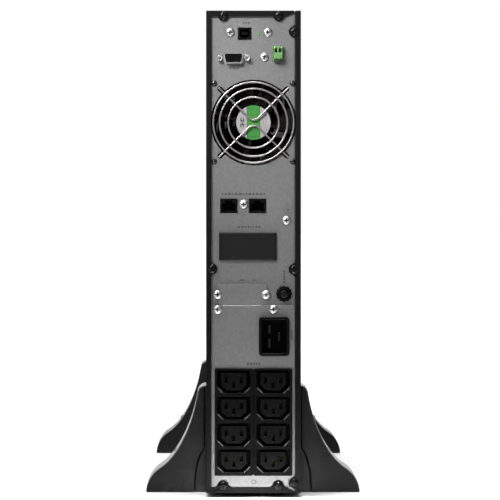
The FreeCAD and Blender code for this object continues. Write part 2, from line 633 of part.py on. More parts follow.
def outlet_block(side):
    """Bank of four ten-amp outlets: a core stands in each recess, with three slots."""
    x = side * BLOCK_X
    flange = rounded(x, up(BLOCK_Z), BLOCK_W, BLOCK_H, 1.2, OUTLET_Y, PLATE_Y)
    body = slab(x, up(BLOCK_Z), BLOCK_W - 2.6, BLOCK_H - 2.6, PLATE_Y - 0.1, OUTLET_BACK)
    shape = fuse([flange, body])
    recesses = [cut_corners(x, up(z), 30.3, 21.0, 6.6, OUTLET_Y - 1, OUTLET_FLOOR) for z in OUTLET_ROWS]
    cores = [cut_corners(x, up(z), 23.5, 16.0, 5.2, OUTLET_Y + 0.4, OUTLET_FLOOR + 1) for z in OUTLET_ROWS]
    slots = [slab(x + dx, up(z + dz), 2.4, 6.0, OUTLET_Y - 1, OUTLET_Y + 24)
             for z in OUTLET_ROWS for dx, dz in CONTACTS]
    return cut(fuse([cut(shape, recesses)] + cores), slots)


def outlet_contacts():
    """Brass spring contacts at the bottom of every slot."""
    parts = [slab(side * BLOCK_X + dx, up(z + dz), 1.8, 4.8, OUTLET_Y + 9, OUTLET_Y + 23.5)
             for side in (-1, 1) for z in OUTLET_ROWS for dx, dz in CONTACTS]
    return Part.makeCompound(parts)


# ---------------------------------------------------------------- electronics
BOARD = 1.6
BOARD_X = -38.0


def comm_board():
    """Signal board that stands behind the data, serial and emergency-off sockets."""
    y = PANEL_Y + 16.0
    board = slab(0, up(408), 72, 48, y, y + BOARD)
    chips = [slab(x, up(z), w, h, y + BOARD - 0.1, y + BOARD + 2.2)
             for x, z, w, h in ((-6, 412, 16, 16), (18, 404, 10, 8), (-24, 408, 8, 14), (26, 420, 8, 8))]
    return fuse([board] + chips)


def power_board():
    """Main power board beside the battery bay's back, on edge along the left wall."""
    board = block(BOARD_X, BOARD_X + BOARD, -250, -62, 14, 312)
    blocks = [block(BOARD_X + BOARD - 0.1, BOARD_X + 18, y, y + 22, z, z + 14)
              for y, z in ((-246, 292), (-216, 292), (-186, 292), (-90, 24))]
    return fuse([board] + blocks)


def inverter_board():
    """Upper power board, above the battery bay and in the fan's air stream."""
    board = block(BOARD_X, BOARD_X + BOARD, -240, 250, 324, 438)
    blocks = [block(BOARD_X + BOARD - 0.1, BOARD_X + 12, y, y + 16, z, z + 26)
              for y, z in ((150, 330), (180, 330), (210, 330), (210, 400), (40, 334), (66, 334))]
    return fuse([board] + blocks)


def heatsinks():
    """Two finned extrusions lying in the air stream."""
    shapes = []
    for z0 in (330.0, 384.0):
        spine = block(-34, 30, -228, 20, z0, z0 + 5)
        fins = [block(x, x + 1.8, -228, 20, z0 + 4, z0 + 40) for x in [-34 + 7.77 * i for i in range(9)]]
        shapes.append(fuse([spine] + [f for f in fins if f.BoundBox.XMax <= 30.1]))
    return Part.makeCompound(shapes)


def bulk_capacitors():
    """Six electrolytic capacitors standing on the power board."""
    cans = []
    for row in range(2):
        for i in range(3):
            y, z = -230 + 36 * i, 190 + 36 * row
            can = rod_x(y, z, 15, BOARD_X + BOARD, BOARD_X + BOARD + 48)
            ends = [e for e in can.Edges if e.CenterOfMass.x > BOARD_X + 48 and e.Length > 60]
            cans.append(can.makeFillet(1.5, ends))
    return Part.makeCompound(cans)


def inductors():
    """Two wound toroids."""
    shapes = []
    for y, z in ((-96, 110), (-96, 180)):
        core = rod_x(y, z, 27, BOARD_X + BOARD, BOARD_X + BOARD + 26)
        core = core.cut(rod_x(y, z, 11, BOARD_X, BOARD_X + 40))
        rims = [e for e in core.Edges if e.Length > 60 and len(e.Vertexes) == 1]
        shapes.append(core.makeFillet(6.0, rims))
    return Part.makeCompound(shapes)


def transformer():
    """Ferrite transformer: an E-core round its bobbin."""
    x0 = BOARD_X + BOARD
    core = block(x0, x0 + 44, -120, -66, 224, 272)
    windows = [block(x0 + 8, x0 + 36, -130, -60, z, z + 9) for z in (233, 254)]
    winding = block(x0 + 9, x0 + 35, -126, -60.5, 243.2, 252.8)
    return fuse([cut(core, windows), winding])


def relays():
    x0 = BOARD_X + BOARD
    return Part.makeCompound([block(x0, x0 + 22, y, y + 30, 34, 50) for y in (-246, -210, -174, -138)])


def emi_filter():
    """Line filter can behind the mains inlet."""
    z = up(INLET_Z)
    can = block(4, 34, INLET_FLOOR + 21, INLET_FLOOR + 63, z - 22, z + 22)
    edges = [e for e in can.Edges if abs(e.tangentAt(e.FirstParameter).y) > 0.9]
    return can.makeFillet(2.0, edges)


# ---------------------------------------------------------------- battery bay and drawer
def bay_divider():
    """Sheet walls between the battery bay and the electronics."""
    back = block(-INNER + 1.0, INNER - 1.0, BAY_BACK, BAY_BACK + 1.0, LIFT + 3.0, BAY_TOP)
    roof = block(-INNER + 1.0, INNER - 1.0, BAY_BACK, 240, BAY_TOP, BAY_TOP + 1.0)
    return fuse([back, roof])


def bay_slides():
    """Low-friction strips that the drawer runs on: two under it and two beside it."""
    floor_z = LIFT + SHEET
    strips = [block(x, x + 12, BAY_BACK + 4, 250, floor_z, DRAWER_Z - FIT) for x in (-30, 18)]
    strips += [block(-INNER, -DRAWER_X - FIT, BAY_BACK + 4, 250, z, z + 14) for z in (40, 262)]
    return Part.makeCompound(strips)


def battery_tray():
    """Folded tray: one broad wall, two narrow ones and a back."""
    broad = block(-DRAWER_X, -DRAWER_X + 1, DRAWER_Y0, DRAWER_Y1, DRAWER_Z, DRAWER_TOP)
    narrow = [block(-DRAWER_X, DRAWER_X - 4, DRAWER_Y0, DRAWER_Y1, z, z + 1)
              for z in (DRAWER_Z, DRAWER_TOP - 1)]
    back = block(-DRAWER_X, DRAWER_X - 4, DRAWER_Y0, DRAWER_Y0 + 1, DRAWER_Z, DRAWER_TOP)
    return fuse([broad, back] + narrow)


def battery_places():
    """Front-lower-left corner of each of the six batteries, two deep and three high."""
    thick, long, tall = BATTERY
    x0 = -DRAWER_X + 1.4
    rows = [DRAWER_Y0 + 1.6, DRAWER_Y0 + 2.4 + long]
    return [(x0, y, DRAWER_Z + 1.6 + level * (tall + BATTERY_LEAD + 0.4)) for y in rows for level in range(3)]


def batteries():
    """Six sealed lead-acid batteries, each a case with a lid and two blade terminals."""
    thick, long, tall = BATTERY
    shapes = []
    for x, y, z in battery_places():
        case = block(x, x + thick, y, y + long, z, z + tall - 6)
        lid = block(x + 0.6, x + thick - 0.6, y + 0.6, y + long - 0.6, z + tall - 6.2, z + tall)
        posts = [block(x + dx, x + dx + 0.8, y + 8, y + 14.4, z + tall - 1, z + tall + BATTERY_LEAD - 0.4)
                 for dx in (12, thick - 12.8)]
        shapes.append(fuse([case, lid] + posts))
    return Part.makeCompound(shapes)


def battery_links():
    """Straps that join neighbouring batteries in series, over their lids."""
    thick, long, tall = BATTERY
    straps = []
    for x, y, z in battery_places()[:3]:
        top = z + tall + 0.3
        straps.append(block(x + 20, x + 28, y + 10, y + long + 12, top, top + 1.5))
    return Part.makeCompound(straps)


def battery_front_plate():
    """Steel retainer in front of the batteries, with two lifting ears for the strap."""
    plate = block(-DRAWER_X, DRAWER_X, DRAWER_Y1 + 0.2, DRAWER_Y1 + 1.7, DRAWER_Z, DRAWER_TOP)
    ears = [block(-12, 12, DRAWER_Y1 + 1.6, DRAWER_Y1 + 9, z, z + 1.5) for z in (118.0, 202.5)]
    holes = [rod_z(0, DRAWER_Y1 + 5.4, 2.2, z - 1, z + 3) for z in (118.0, 202.5)]
    windows = [slab(0, z, 40, 26, DRAWER_Y1 - 1, DRAWER_Y1 + 3) for z in (60, 260)]
    return cut(fuse([plate] + ears), holes + windows)


def tray_handle():
    """Pull bar of the battery drawer, held between the retainer's ears."""
    y = DRAWER_Y1 + 5.4
    return fuse([rod_z(0, y, 2.0, 116.5, 205.5), rod_z(0, y, 3.4, 123, 199)])


# ---------------------------------------------------------------- front
BEZEL_WALL = 3.0
DOOR_GAP = 0.3
GRIP = (-16.0, 16.0, 288.0, 304.0)


def outer_edges(shape):
    """Front edges and the long corner edges of a bezel piece."""
    return [e for e in shape.Edges if e.CenterOfMass.y > FRONT - 0.01]


def front_bezel():
    """Plastic front: closed above around the display, open below for the battery drawer."""
    shape = block(-HALF, HALF, BEZEL_Y, FRONT, LIFT, TOP)
    shape = shape.makeFillet(3.5, outer_edges(shape))
    hollow = block(-HALF + BEZEL_WALL, HALF - BEZEL_WALL, BEZEL_Y - 1, FRONT - BEZEL_WALL, 324, TOP - BEZEL_WALL)
    doorway = block(-DOOR_X - DOOR_GAP, DOOR_X + DOOR_GAP, BEZEL_Y - 1, FRONT + 1,
                    DOOR_Z0 - DOOR_GAP, DOOR_Z1 + DOOR_GAP)
    window = rod_y(0, DISPLAY_Z, DISPLAY_R + 0.35, FRONT - 5, FRONT + 1)
    vents = [slab(x, 432, 3.0, 10.0, FRONT - 5, FRONT + 1) for x in [-33 + 6 * i for i in range(12)]]
    return cut(shape, [hollow, doorway, window] + vents)


def battery_door():
    """Clip-on cover of the battery drawer with air slots and a finger grip."""
    shape = block(-DOOR_X, DOOR_X, BEZEL_Y + 4, FRONT, DOOR_Z0, DOOR_Z1)
    shape = shape.makeFillet(1.2, outer_edges(shape))
    hollow = block(-DOOR_X + 2.2, DOOR_X - 2.2, BEZEL_Y + 3, FRONT - 3, DOOR_Z0 + 2.2, DOOR_Z1 - 2.2)
    shape = shape.cut(hollow)
    x0, x1, z0, z1 = GRIP
    cup = block(x0 - 2, x1 + 2, FRONT - 14, FRONT - 2.9, z0 - 2, z1 + 2)
    shape = fuse([shape, cup])
    slots = [rounded(0, z, 56, 3.0, 1.4, FRONT - 5, FRONT + 1) for z in [24 + 8 * i for i in range(30)]]
    return cut(shape, [block(x0, x1, FRONT - 12, FRONT + 1, z0, z1)] + slots)


FLANGE_R = 37.3
TURN_Y = FRONT - 1.0     # face of the turning display


def display_turntable():
    """Round display carrier that turns a quarter turn between rack and tower use."""
    face = rod_y(0, DISPLAY_Z, DISPLAY_R, FRONT - 3.4, TURN_Y)
    flange = rod_y(0, DISPLAY_Z, FLANGE_R, FRONT - 9.0, FRONT - BEZEL_WALL - FIT)
    barrel = rod_y(0, DISPLAY_Z, 32.5, FRONT - 24, FRONT - 8)
    shape = fuse([face, flange, barrel])
    tools = [rod_y(0, DISPLAY_Z, 30.5, FRONT - 25, FRONT - 5),
             slab(0, DISPLAY_Z + 7, 46.0, 26.0, FRONT - 9, FRONT + 1)]
    tools += [rod_y(x, DISPLAY_Z - 19, BUTTON_R + FIT, FRONT - 9, FRONT + 1) for x in BUTTONS.values()]
    return cut(shape, tools)


def display_window():
    return slab(0, DISPLAY_Z + 7, 45.6, 25.6, TURN_Y - 2.4, TURN_Y - 0.4)


def display_board():
    """Board of the turning display with its panel module."""
    board = rod_y(0, DISPLAY_Z, 29.8, FRONT - 17, FRONT - 15.4)
    module = slab(0, DISPLAY_Z + 7, 44.0, 24.0, FRONT - 15.5, TURN_Y - 2.6)
    return fuse([board, module])


def display_retainer():
    """Ring behind the turntable's flange that holds it in the bezel."""
    plate = slab(0, DISPLAY_Z, 2 * (HALF - BEZEL_WALL), 82, FRONT - 13, FRONT - 9.0 - FIT)
    return plate.cut(rod_y(0, DISPLAY_Z, 33.0, FRONT - 14, FRONT))


def button(x):
    """Push button with a retaining flange behind the carrier's face."""
    z = DISPLAY_Z - 19
    cap = rod_y(x, z, BUTTON_R, FRONT - 6.6, FRONT - 0.3)
    tip = [e for e in cap.Edges if abs(e.CenterOfMass.y - (FRONT - 0.3)) < 0.01 and e.Length > 1]
    cap = cap.makeFillet(0.8, tip)
    flange = rod_y(x, z, BUTTON_R + 1.2, FRONT - 7.6, FRONT - 5.8)
    return fuse([cap, flange, rod_y(x, z, 1.6, FRONT - 12.5, FRONT - 7)])


# ---------------------------------------------------------------- feet
FOOT_WALL = 3.6
RELIEF_W = 11.0
RELIEF_H = 41.0
RELIEF_DEEP = 1.6
STRIP_W = 2.0            # shallow step beside the case
STRIP_DEEP = 1.0
HOOK = (12.0, 24.0, 7.5)  # from y, to y, and reach past the middle


def foot_face(inset):
    """Side profile of a foot, reach along X and height along Z: crest, hollow sweep, toe."""
    side = Vector(inset, 0, 0)
    crest_top = Vector(inset, 0, FOOT_TALL - inset)
    shoulder = Vector(8.2 - inset, 0, 92.5)
    crest = Part.Arc(crest_top, Vector(max(5.0 - inset, inset + 0.8), 0, 97.4 - inset), shoulder)
    hips = [shoulder, Vector(12.9 - inset, 0, 71.5), Vector(21.6 - inset, 0, 49.6),
            Vector(31.8 - inset, 0, 33.2), Vector(44.2 - inset, 0, 22.0)]
    sweep = Part.BSplineCurve()
    sweep.interpolate(hips)
    toe = Part.Arc(hips[-1], Vector(52.6 - inset, 0, 12.8), Vector(FOOT_REACH - inset, 0, 0))
    base = Part.LineSegment(Vector(FOOT_REACH - inset, 0, 0), side)
    back = Part.LineSegment(side, crest_top)
    return Part.Face(Part.Wire([c.toShape() for c in (crest, sweep, toe, base, back)]))


def foot_body(inset):
    """Foot profile given length along Y, narrowing evenly from floor to crest."""
    shape = foot_face(inset).extrude(Vector(0, FOOT_BASE, 0))
    lean = (FOOT_BASE - FOOT_CREST) / 2
    ends = [(inset, 0), (FOOT_BASE - inset, 0), (FOOT_BASE - lean - inset, FOOT_TALL),
            (lean + inset, FOOT_TALL)]
    corners = [Vector(-1, y, z) for y, z in ends]
    wedge = Part.Face(Part.makePolygon(corners + corners[:1])).extrude(Vector(FOOT_REACH + 2, 0, 0))
    return shape.common(wedge)


def foot_relief():
    """Quarter-ellipse hollows low on both end faces, and the shallow steps beside the case."""
    lean = math.degrees(math.atan((FOOT_BASE - FOOT_CREST) / 2 / FOOT_TALL))
    depth = 4.0
    stretch = FreeCAD.Matrix()
    stretch.scale(RELIEF_W, 1.0, RELIEF_H)
    hollow = rod_y(0, 0, 1.0, RELIEF_DEEP - depth, RELIEF_DEEP).transformGeometry(stretch)
    step = block(-1, STRIP_W, STRIP_DEEP - depth, STRIP_DEEP, -1, FOOT_TALL + 9)
    cutters = []
    for cutter in (hollow, step):
        cutter.rotate(Vector(0, 0, 0), Vector(1, 0, 0), -lean)
        cutters += [cutter, cutter.mirror(Vector(0, FOOT_BASE / 2, 0), Vector(0, 1, 0))]
    return cutters


def foot_half():
    """One foot at x = 0 and outward, with its base plate reaching under the case to the middle."""
    shell = foot_body(0.0).cut(foot_body(FOOT_WALL))
    shell = cut(shell, foot_relief())
    y0, y1, reach = HOOK
    plate = block(-HALF + 0.15, 1.0, 3, FOOT_BASE - 3, 0, LIFT)
    hook = block(-HALF - reach, -HALF + 0.5, y0, y1, 0, LIFT)
    notch = block(-HALF, -HALF + reach + 0.3, FOOT_BASE - y1 - 0.2, FOOT_BASE - y0 + 0.2, -1, LIFT + 1)
    ribs = [block(FOOT_WALL - 0.5, 30, y, y + 2, 4, 38) for y in (18, FOOT_BASE - 20)]
    return fuse([shell.fuse(plate), hook] + ribs).cut(notch)


def stand(side, rear_y):
    """The foot half on one side; the left one is the same moulding turned half round."""
    shape = foot_half()
    shape.translate(Vector(HALF, rear_y, 0))
    if side < 0:
        shape.rotate(Vector(0, rear_y + FOOT_BASE / 2, 0), Vector(0, 0, 1), 180)
    return shape


# ---------------------------------------------------------------- all pieces
NODES = {
    "chassis_tray": chassis_tray,
    "side_cover": side_cover,
    "rear_panel": rear_panel,
    "outlet_plate": outlet_plate,
    "battery_port_cover": battery_port_cover,
    "battery_port": battery_port,
    "slot_cover": slot_cover,
    "cover_screws": cover_screws,
    "panel_screws": panel_screws,
    "fan_guard": fan_guard,
    "fan_frame": fan_frame,
    "fan_rotor": fan_rotor,
    "fan_label": fan_label,
    "usb_port": usb_port,
    "serial_shell": serial_shell,
    "serial_insert": serial_insert,
    "jack_screws": jack_screws,
    "epo_socket": epo_socket,
    "epo_plug": epo_plug,
    "network_jack_left": lambda: network_jack(*JACKS[0]),
    "network_jack_right": lambda: network_jack(*JACKS[1]),
    "jack_contacts": jack_contacts,
    "breaker_body": breaker_body,
    "breaker_nut": breaker_nut,
    "breaker_button": breaker_button,
    "inlet_housing": inlet_housing,
    "inlet_blades": inlet_blades,
    "outlet_block_left": lambda: outlet_block(-1),
    "outlet_block_right": lambda: outlet_block(1),
    "outlet_contacts": outlet_contacts,
    "comm_board": comm_board,
    "power_board": power_board,
    "inverter_board": inverter_board,
    "heatsinks": heatsinks,
    "bulk_capacitors": bulk_capacitors,
    "inductors": inductors,
    "transformer": transformer,
    "relays": relays,
    "emi_filter": emi_filter,
    "bay_divider": bay_divider,
    "bay_slides": bay_slides,
    "battery_tray": battery_tray,
    "batteries": batteries,
    "battery_links": battery_links,
    "battery_front_plate": battery_front_plate,
    "tray_handle": tray_handle,
    "front_bezel": front_bezel,
    "battery_door": battery_door,
    "display_turntable": display_turntable,
    "display_window": display_window,
    "display_board": display_board,
    "display_retainer": display_retainer,
    "power_button": lambda: button(BUTTONS["power_button"]),
    "menu_button": lambda: button(BUTTONS["menu_button"]),
    "enter_button": lambda: button(BUTTONS["enter_button"]),
    "stand_rear_left": lambda: stand(-1, FOOT_REAR_Y),
    "stand_rear_right": lambda: stand(1, FOOT_REAR_Y),
    "stand_front_left": lambda: stand(-1, FOOT_FRONT_Y),
    "stand_front_right": lambda: stand(1, FOOT_FRONT_Y),
}


def main():
    os.makedirs("parts", exist_ok=True)
    for name, make in NODES.items():
        shape = make()
        solids = shape.Solids
        sound = all(solid.isValid() and solid.Volume > 0 for solid in solids)
        print(name, len(solids), "solids", "ok" if sound and solids else "NOT SOUND", round(shape.Volume))
        kept = solids[0] if len(solids) == 1 else Part.makeCompound(solids)
        kept.exportStep("parts/" + name + ".step")


main()
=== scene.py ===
# %% [markdown]
# # Dressing a tower power supply
# The metalwork, sockets and moving pieces of this uninterruptible power supply come from CAD as a
# fixed frame of named nodes, in metres, with the floor at z = 0, the sockets facing -Y and the
# bezel facing +Y. This lesson gives every node its finish, rounds the edges that catch light, and
# adds what a maker would add last: the fan's real blades, the printing, the lamp, the liquid
# crystal display and the studio.
#
# The frame is loaded first.

# %% Load the frame
import bpy
import bmesh
import json
import math
import random
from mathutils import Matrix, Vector


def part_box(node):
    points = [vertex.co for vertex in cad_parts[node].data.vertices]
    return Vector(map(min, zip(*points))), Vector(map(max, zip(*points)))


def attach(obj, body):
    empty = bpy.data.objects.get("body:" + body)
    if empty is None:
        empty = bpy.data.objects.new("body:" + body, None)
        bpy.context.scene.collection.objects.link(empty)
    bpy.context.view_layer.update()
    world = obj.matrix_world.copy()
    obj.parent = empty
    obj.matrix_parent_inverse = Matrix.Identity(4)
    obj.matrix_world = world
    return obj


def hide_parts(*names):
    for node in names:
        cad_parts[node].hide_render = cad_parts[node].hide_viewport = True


MM = 0.001
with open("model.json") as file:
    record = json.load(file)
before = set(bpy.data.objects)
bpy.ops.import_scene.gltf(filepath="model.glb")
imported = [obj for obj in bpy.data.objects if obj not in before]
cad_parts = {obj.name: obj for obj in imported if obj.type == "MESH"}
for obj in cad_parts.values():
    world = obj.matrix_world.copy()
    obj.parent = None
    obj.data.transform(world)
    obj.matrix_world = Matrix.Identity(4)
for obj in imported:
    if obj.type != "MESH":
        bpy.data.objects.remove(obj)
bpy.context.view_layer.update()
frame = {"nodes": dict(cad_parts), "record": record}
nodes = frame["nodes"]
slot_of = {part["node"]: part["material_slot"] for part in frame["record"]["subparts"]}

# %% [markdown]
# ## The camera
# The object stands square to the camera, seen from some two and a half metres with a long lens, so
# the two broad sides can't be seen and the far pair of feet shows just outside the near pair. A
# long lens with a small shift does this: the camera stays level, which keeps the case's edges
# upright, and the shift slides the picture instead of tilting the camera.

# %% Place the camera
EYE = Vector((-0.030, -2.69, 0.259))
LENS, FILM = 189.2, 36
SHIFT = (0.0588, -0.0731)
scene = bpy.context.scene
camera = bpy.data.objects.new("camera", bpy.data.cameras.new("camera"))
camera.location = EYE
camera.rotation_euler = (math.radians(90), 0, 0)
camera.data.lens = LENS
camera.data.sensor_width = FILM
camera.data.shift_x, camera.data.shift_y = SHIFT
scene.collection.objects.link(camera)
scene.camera = camera

# %% [markdown]
# ## Shader sums
# Nearly every finish here is a plain colour that wanders a little, a gloss that wanders a little,
# and a fine relief. Drawing that as node boxes by hand is slow to read, so one small class wraps
# an output socket and overloads the operators: an expression such as `1 - mask` adds the Math node
# that it needs. Colours never go through Math nodes, which would turn them grey, so `blend` uses
# the Mix node. A mask is 0 or 1, so `*` of two masks means both and `|` means either.

# %% Wrap a socket so that it can be used in sums
class Value:
    def __init__(self, finish, socket):
        self.finish = finish
        self.socket = socket

    def sum_with(self, operation, first, second):
        return self.finish.node("ShaderNodeMath", {"operation": operation}, {0: first, 1: second})

    def __add__(self, other):
        return self.sum_with("ADD", self, other)

    def __sub__(self, other):
        return self.sum_with("SUBTRACT", self, other)

    def __rsub__(self, other):
        return self.sum_with("SUBTRACT", other, self)

    def __mul__(self, other):
        return self.sum_with("MULTIPLY", self, other)

    def __gt__(self, other):
        return self.sum_with("GREATER_THAN", self, other)

    def __lt__(self, other):
        return self.sum_with("LESS_THAN", self, other)

    def __pow__(self, other):
        return self.sum_with("POWER", self, other)

    def __mod__(self, other):
        return self.sum_with("FLOORED_MODULO", self, other)

    def __abs__(self):
        return self.sum_with("ABSOLUTE", self, 0.0)

    def __or__(self, other):
        return self.sum_with("MAXIMUM", self, other)

    __radd__ = __add__
    __rmul__ = __mul__


print("sums of sockets: +, -, *, **, %, <, >, |, abs")

# %% [markdown]
# A finish is one material with its own small vocabulary. `node` is the one way to add a node: its
# settings are set first, then its sockets, each from a number or from another value. Places on the
# object are measured in millimetres from the object's own coordinates, which for these pieces are
# the frame's, so a grain of 0.4 means 0.4 mm on every piece.

# %% Build a finish
class Finish:
    def __init__(self, name):
        self.material = bpy.data.materials.new(name)
        self.material.use_nodes = True
        self.tree = self.material.node_tree
        self.shader = self.tree.nodes["Principled BSDF"]
        place = self.node("ShaderNodeTexCoord", out="Object")
        self.place = self.node("ShaderNodeVectorMath", {"operation": "SCALE"}, {0: place, "Scale": 1000.0})

    def node(self, kind, settings=None, sockets=None, out=0):
        made = self.tree.nodes.new(kind)
        for key, value in (settings or {}).items():
            setattr(made, key, value)
        for key, value in (sockets or {}).items():
            if isinstance(value, Value):
                self.tree.links.new(value.socket, made.inputs[key])
            else:
                made.inputs[key].default_value = value
        return Value(self, made.outputs[out])

    def axis(self, name):
        return self.node("ShaderNodeSeparateXYZ", None, {0: self.place}, out=name)

    def noise(self, size, detail=2.0, stretch=(1, 1, 1)):
        """Soft noise from 0 to 1, whose lumps are about size millimetres across."""
        place = self.node("ShaderNodeVectorMath", {"operation": "MULTIPLY"}, {0: self.place, 1: stretch})
        return self.node("ShaderNodeTexNoise", None, {"Vector": place, "Scale": 1 / size, "Detail": detail})

    def cells(self, size, out="Distance"):
        return self.node("ShaderNodeTexVoronoi", None, {"Vector": self.place, "Scale": 1 / size}, out)

    def smooth(self, value, low, high, to_low=0.0, to_high=1.0):
        """A soft step: to_low below low, to_high above high."""
        ends = {0: value, 1: low, 2: high, 3: to_low, 4: to_high}
        return self.node("ShaderNodeMapRange", {"interpolation_type": "SMOOTHSTEP"}, ends)

    def blend(self, share, colour, other):
        """Mixes two colours; a share of 0 is all colour, of 1 all other."""
        a = colour if isinstance(colour, Value) else (*colour, 1)
        b = other if isinstance(other, Value) else (*other, 1)
        return self.node("ShaderNodeMix", {"data_type": "RGBA"}, {0: share, 6: a, 7: b}, out=2)

    def relief(self, height, depth):
        """Bump of depth millimetres."""
        bump = self.node("ShaderNodeBump", None, {"Height": height, "Distance": depth * MM}, "Normal")
        self.set(Normal=bump)

    def set(self, **sockets):
        """Sets or links sockets of the shader; Base_Color stands for Base Color."""
        for key, value in sockets.items():
            socket = self.shader.inputs[key.replace("_", " ")]
            if isinstance(value, Value):
                self.tree.links.new(value.socket, socket)
            elif isinstance(value, tuple):
                socket.default_value = (*value, 1)
            else:
                socket.default_value = value


finishes = {}


def grey(level, warm=0.0):
    return (level * (1 + warm), level, level * (1 - warm))


print("Value and Finish are ready")

# %% [markdown]
# ## The plain finishes
# Powder coat, satin paint and moulded plastic differ in three numbers a maker would know: how dark
# they are, how glossy, and how coarse the grain is. So they share one recipe, and one line for
# each gives its numbers. The grain drives both the relief and a small part of the gloss, as it does on real
# parts, where the tops of the grain are polished by handling. A slow cloud, some 30 mm across,
# keeps large faces from looking computed.

# %% Recipe for painted and moulded surfaces
def plain(name, colour, rough, grain=0.5, depth=0.015, wander=0.12, specular=0.5):
    made = Finish(name)
    cloud = made.noise(30, 3)
    fine = made.noise(grain, 2)
    dark = tuple(part * (1 - wander) for part in colour)
    light = tuple(min(1.0, part * (1 + wander)) for part in colour)
    made.set(Base_Color=made.blend(cloud * 0.7 + fine * 0.3, dark, light))
    made.set(Roughness=rough + (cloud - 0.5) * 0.10 + (fine - 0.5) * 0.12)
    made.set(Specular_IOR_Level=specular)
    made.relief(fine, depth)
    finishes[name] = made.material
    return made


case = plain("case_black", grey(0.0018), 0.40, grain=0.8, depth=0.03, wander=0.2, specular=0.06)
plain("black_plastic", grey(0.0014), 0.36, grain=0.4, depth=0.012, wander=0.2, specular=0.025)
plain("bezel_plastic", grey(0.013), 0.36, grain=0.5, depth=0.02, wander=0.15)
foot = plain("foot_plastic", grey(0.0062), 0.29, grain=0.6, depth=0.02, wander=0.15, specular=0.36)
plain("fan_plastic", (0.0018, 0.0014, 0.0014), 0.6, grain=0.5, wander=0.2, specular=0.03)
plain("relay_plastic", (0.02, 0.05, 0.16), 0.35)
plain("slide_plastic", grey(0.55, 0.03), 0.5)
plain("battery_case", grey(0.045), 0.5, grain=0.9, depth=0.05)
plain("key_plastic", grey(0.05), 0.4)
plain("handle_black", grey(0.015), 0.32)
plain("can_sleeve", (0.015, 0.03, 0.10), 0.3, depth=0.005)
print(len(finishes), "plain finishes")

# %% [markdown]
# ## The case's rim and its broad sides
# The case is black all over, but not the same black: its broad sides are a plain black with a
# slow random mottle, while the narrow rim round the sockets is painted darker, a painted shade,
# and painted blackest low down, against the light of the table's bright pool. Two soft steps, one
# along the depth and one up the height, lay the blacks next to each other without a line between them.

# %% Shade the rim and the broad sides
RIM_END, SIDES_FROM = -289.0, -270.0
LOW_RIM, HIGH_RIM = 60.0, 220.0
broad = case.smooth(case.axis("Y"), RIM_END, SIDES_FROM)
side_mottle = case.smooth(case.noise(60, 4), 0.35, 0.75)
sheet = case.blend(side_mottle, grey(0.0055), grey(0.0095))
# painted shade: the rim is painted darker than the sides, and darkest low down
rim = case.blend(case.smooth(case.axis("Z"), LOW_RIM, HIGH_RIM), grey(0.0006), grey(0.0017))
case.set(Base_Color=case.blend(broad, rim, sheet))
print("the rim's black gives way over", SIDES_FROM - RIM_END, "mm")

# %% [markdown]
# ## A painted highlight on the feet
# A highlight is painted where a foot's crest faces up to the light, most of all near the sockets
# and the fan: those faces are painted a paler grey, a painted highlight. The surface itself says
# how far it faces up, so the mask needs no map: it starts on faces that lean back only a little
# from upright, is broken up by a fine cloud, and thins out towards the front feet.

# %% Paint the highlight on the crests
TILT_FROM, TILT_TO = 0.08, 0.38
BRIGHTEST_Y, FAINTEST_Y = -150, 0
normal = foot.node("ShaderNodeNewGeometry", out="Normal")
facing = foot.node("ShaderNodeSeparateXYZ", None, {0: normal}, out="Z")
# painted highlight: the faces turned up to the light are painted paler
crest_highlight = foot.smooth(facing, TILT_FROM, TILT_TO) * foot.smooth(foot.noise(6, 3), 0.25, 0.6, 0.6, 1.0)
crest_highlight = crest_highlight * foot.smooth(foot.axis("Y"), BRIGHTEST_Y, FAINTEST_Y, 0.9, 0.02)
foot_tone = foot.blend(foot.noise(30, 3), grey(0.0053), grey(0.0071))
foot.set(Base_Color=foot.blend(crest_highlight, foot_tone, grey(0.17)))
# the faces counted in this print carry the painted highlight
print("dust on faces leaning more than", round(math.degrees(math.asin(TILT_FROM)), 1), "degrees from upright")

# %% [markdown]
# ## The grey panel paint
# The rear panel is steel in a satin metallic grey. A metallic paint has flakes: tiny cells that
# each tilt their own way, so the paint glitters faintly and its gloss is uneven. Voronoi cells a
# few tenths of a millimetre across stand for the flakes, and part of the shading is metallic,
# which makes the panel answer to the bright table below it as the real one does. Shade is painted
# where the sheet meets the rim: the paint darkens over the last few millimetres, a painted shadow
# of the rim. The lower plate's top edge has a painted highlight, a paler band where the light
# catches its edge, and a painted shadow line runs dark down the cover's side.

# %% Metallic grey paint
FLAKE, SHADED_FROM, SHADED_TO, SHADOW_LINE_WIDE, HIGHLIGHT_BAND = 0.45, 35.0, 38.6, 0.8, 0.45
plate_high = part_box("outlet_plate")[1] / MM


def flake_paint(name, level):
    made = Finish(name)
    flake = made.cells(FLAKE, "Color")
    glint = made.node("ShaderNodeSeparateColor", None, {0: flake}, out=0)
    cloud = made.noise(45, 3)
    tone = cloud * 0.3 + glint * 0.25 + made.smooth(made.noise(1.7, 3), 0.3, 0.7) * 0.45
    # painted shade: the paint darkens over the last few millimetres next to the rims
    corner = made.smooth(abs(made.axis("X")), SHADED_FROM, SHADED_TO)
    # painted shadow: a dark line down the sheet's right edge, next to the cover
    shadow_line = made.axis("X") > plate_high.x - SHADOW_LINE_WIDE
    paint = made.blend(tone, grey(level * 0.77), grey(level * 1.14))
    paint = made.blend(corner * 0.5, paint, grey(level * 0.3))
    paint = made.blend(shadow_line, paint, grey(0.004))
    made.set(Base_Color=paint)
    made.set(Roughness=0.40 + (glint - 0.5) * 0.16 + (cloud - 0.5) * 0.06)
    made.set(Metallic=0.55)
    made.relief(made.noise(0.9, 2) + glint * 0.3, 0.01)
    finishes[name] = made.material
    return made, paint


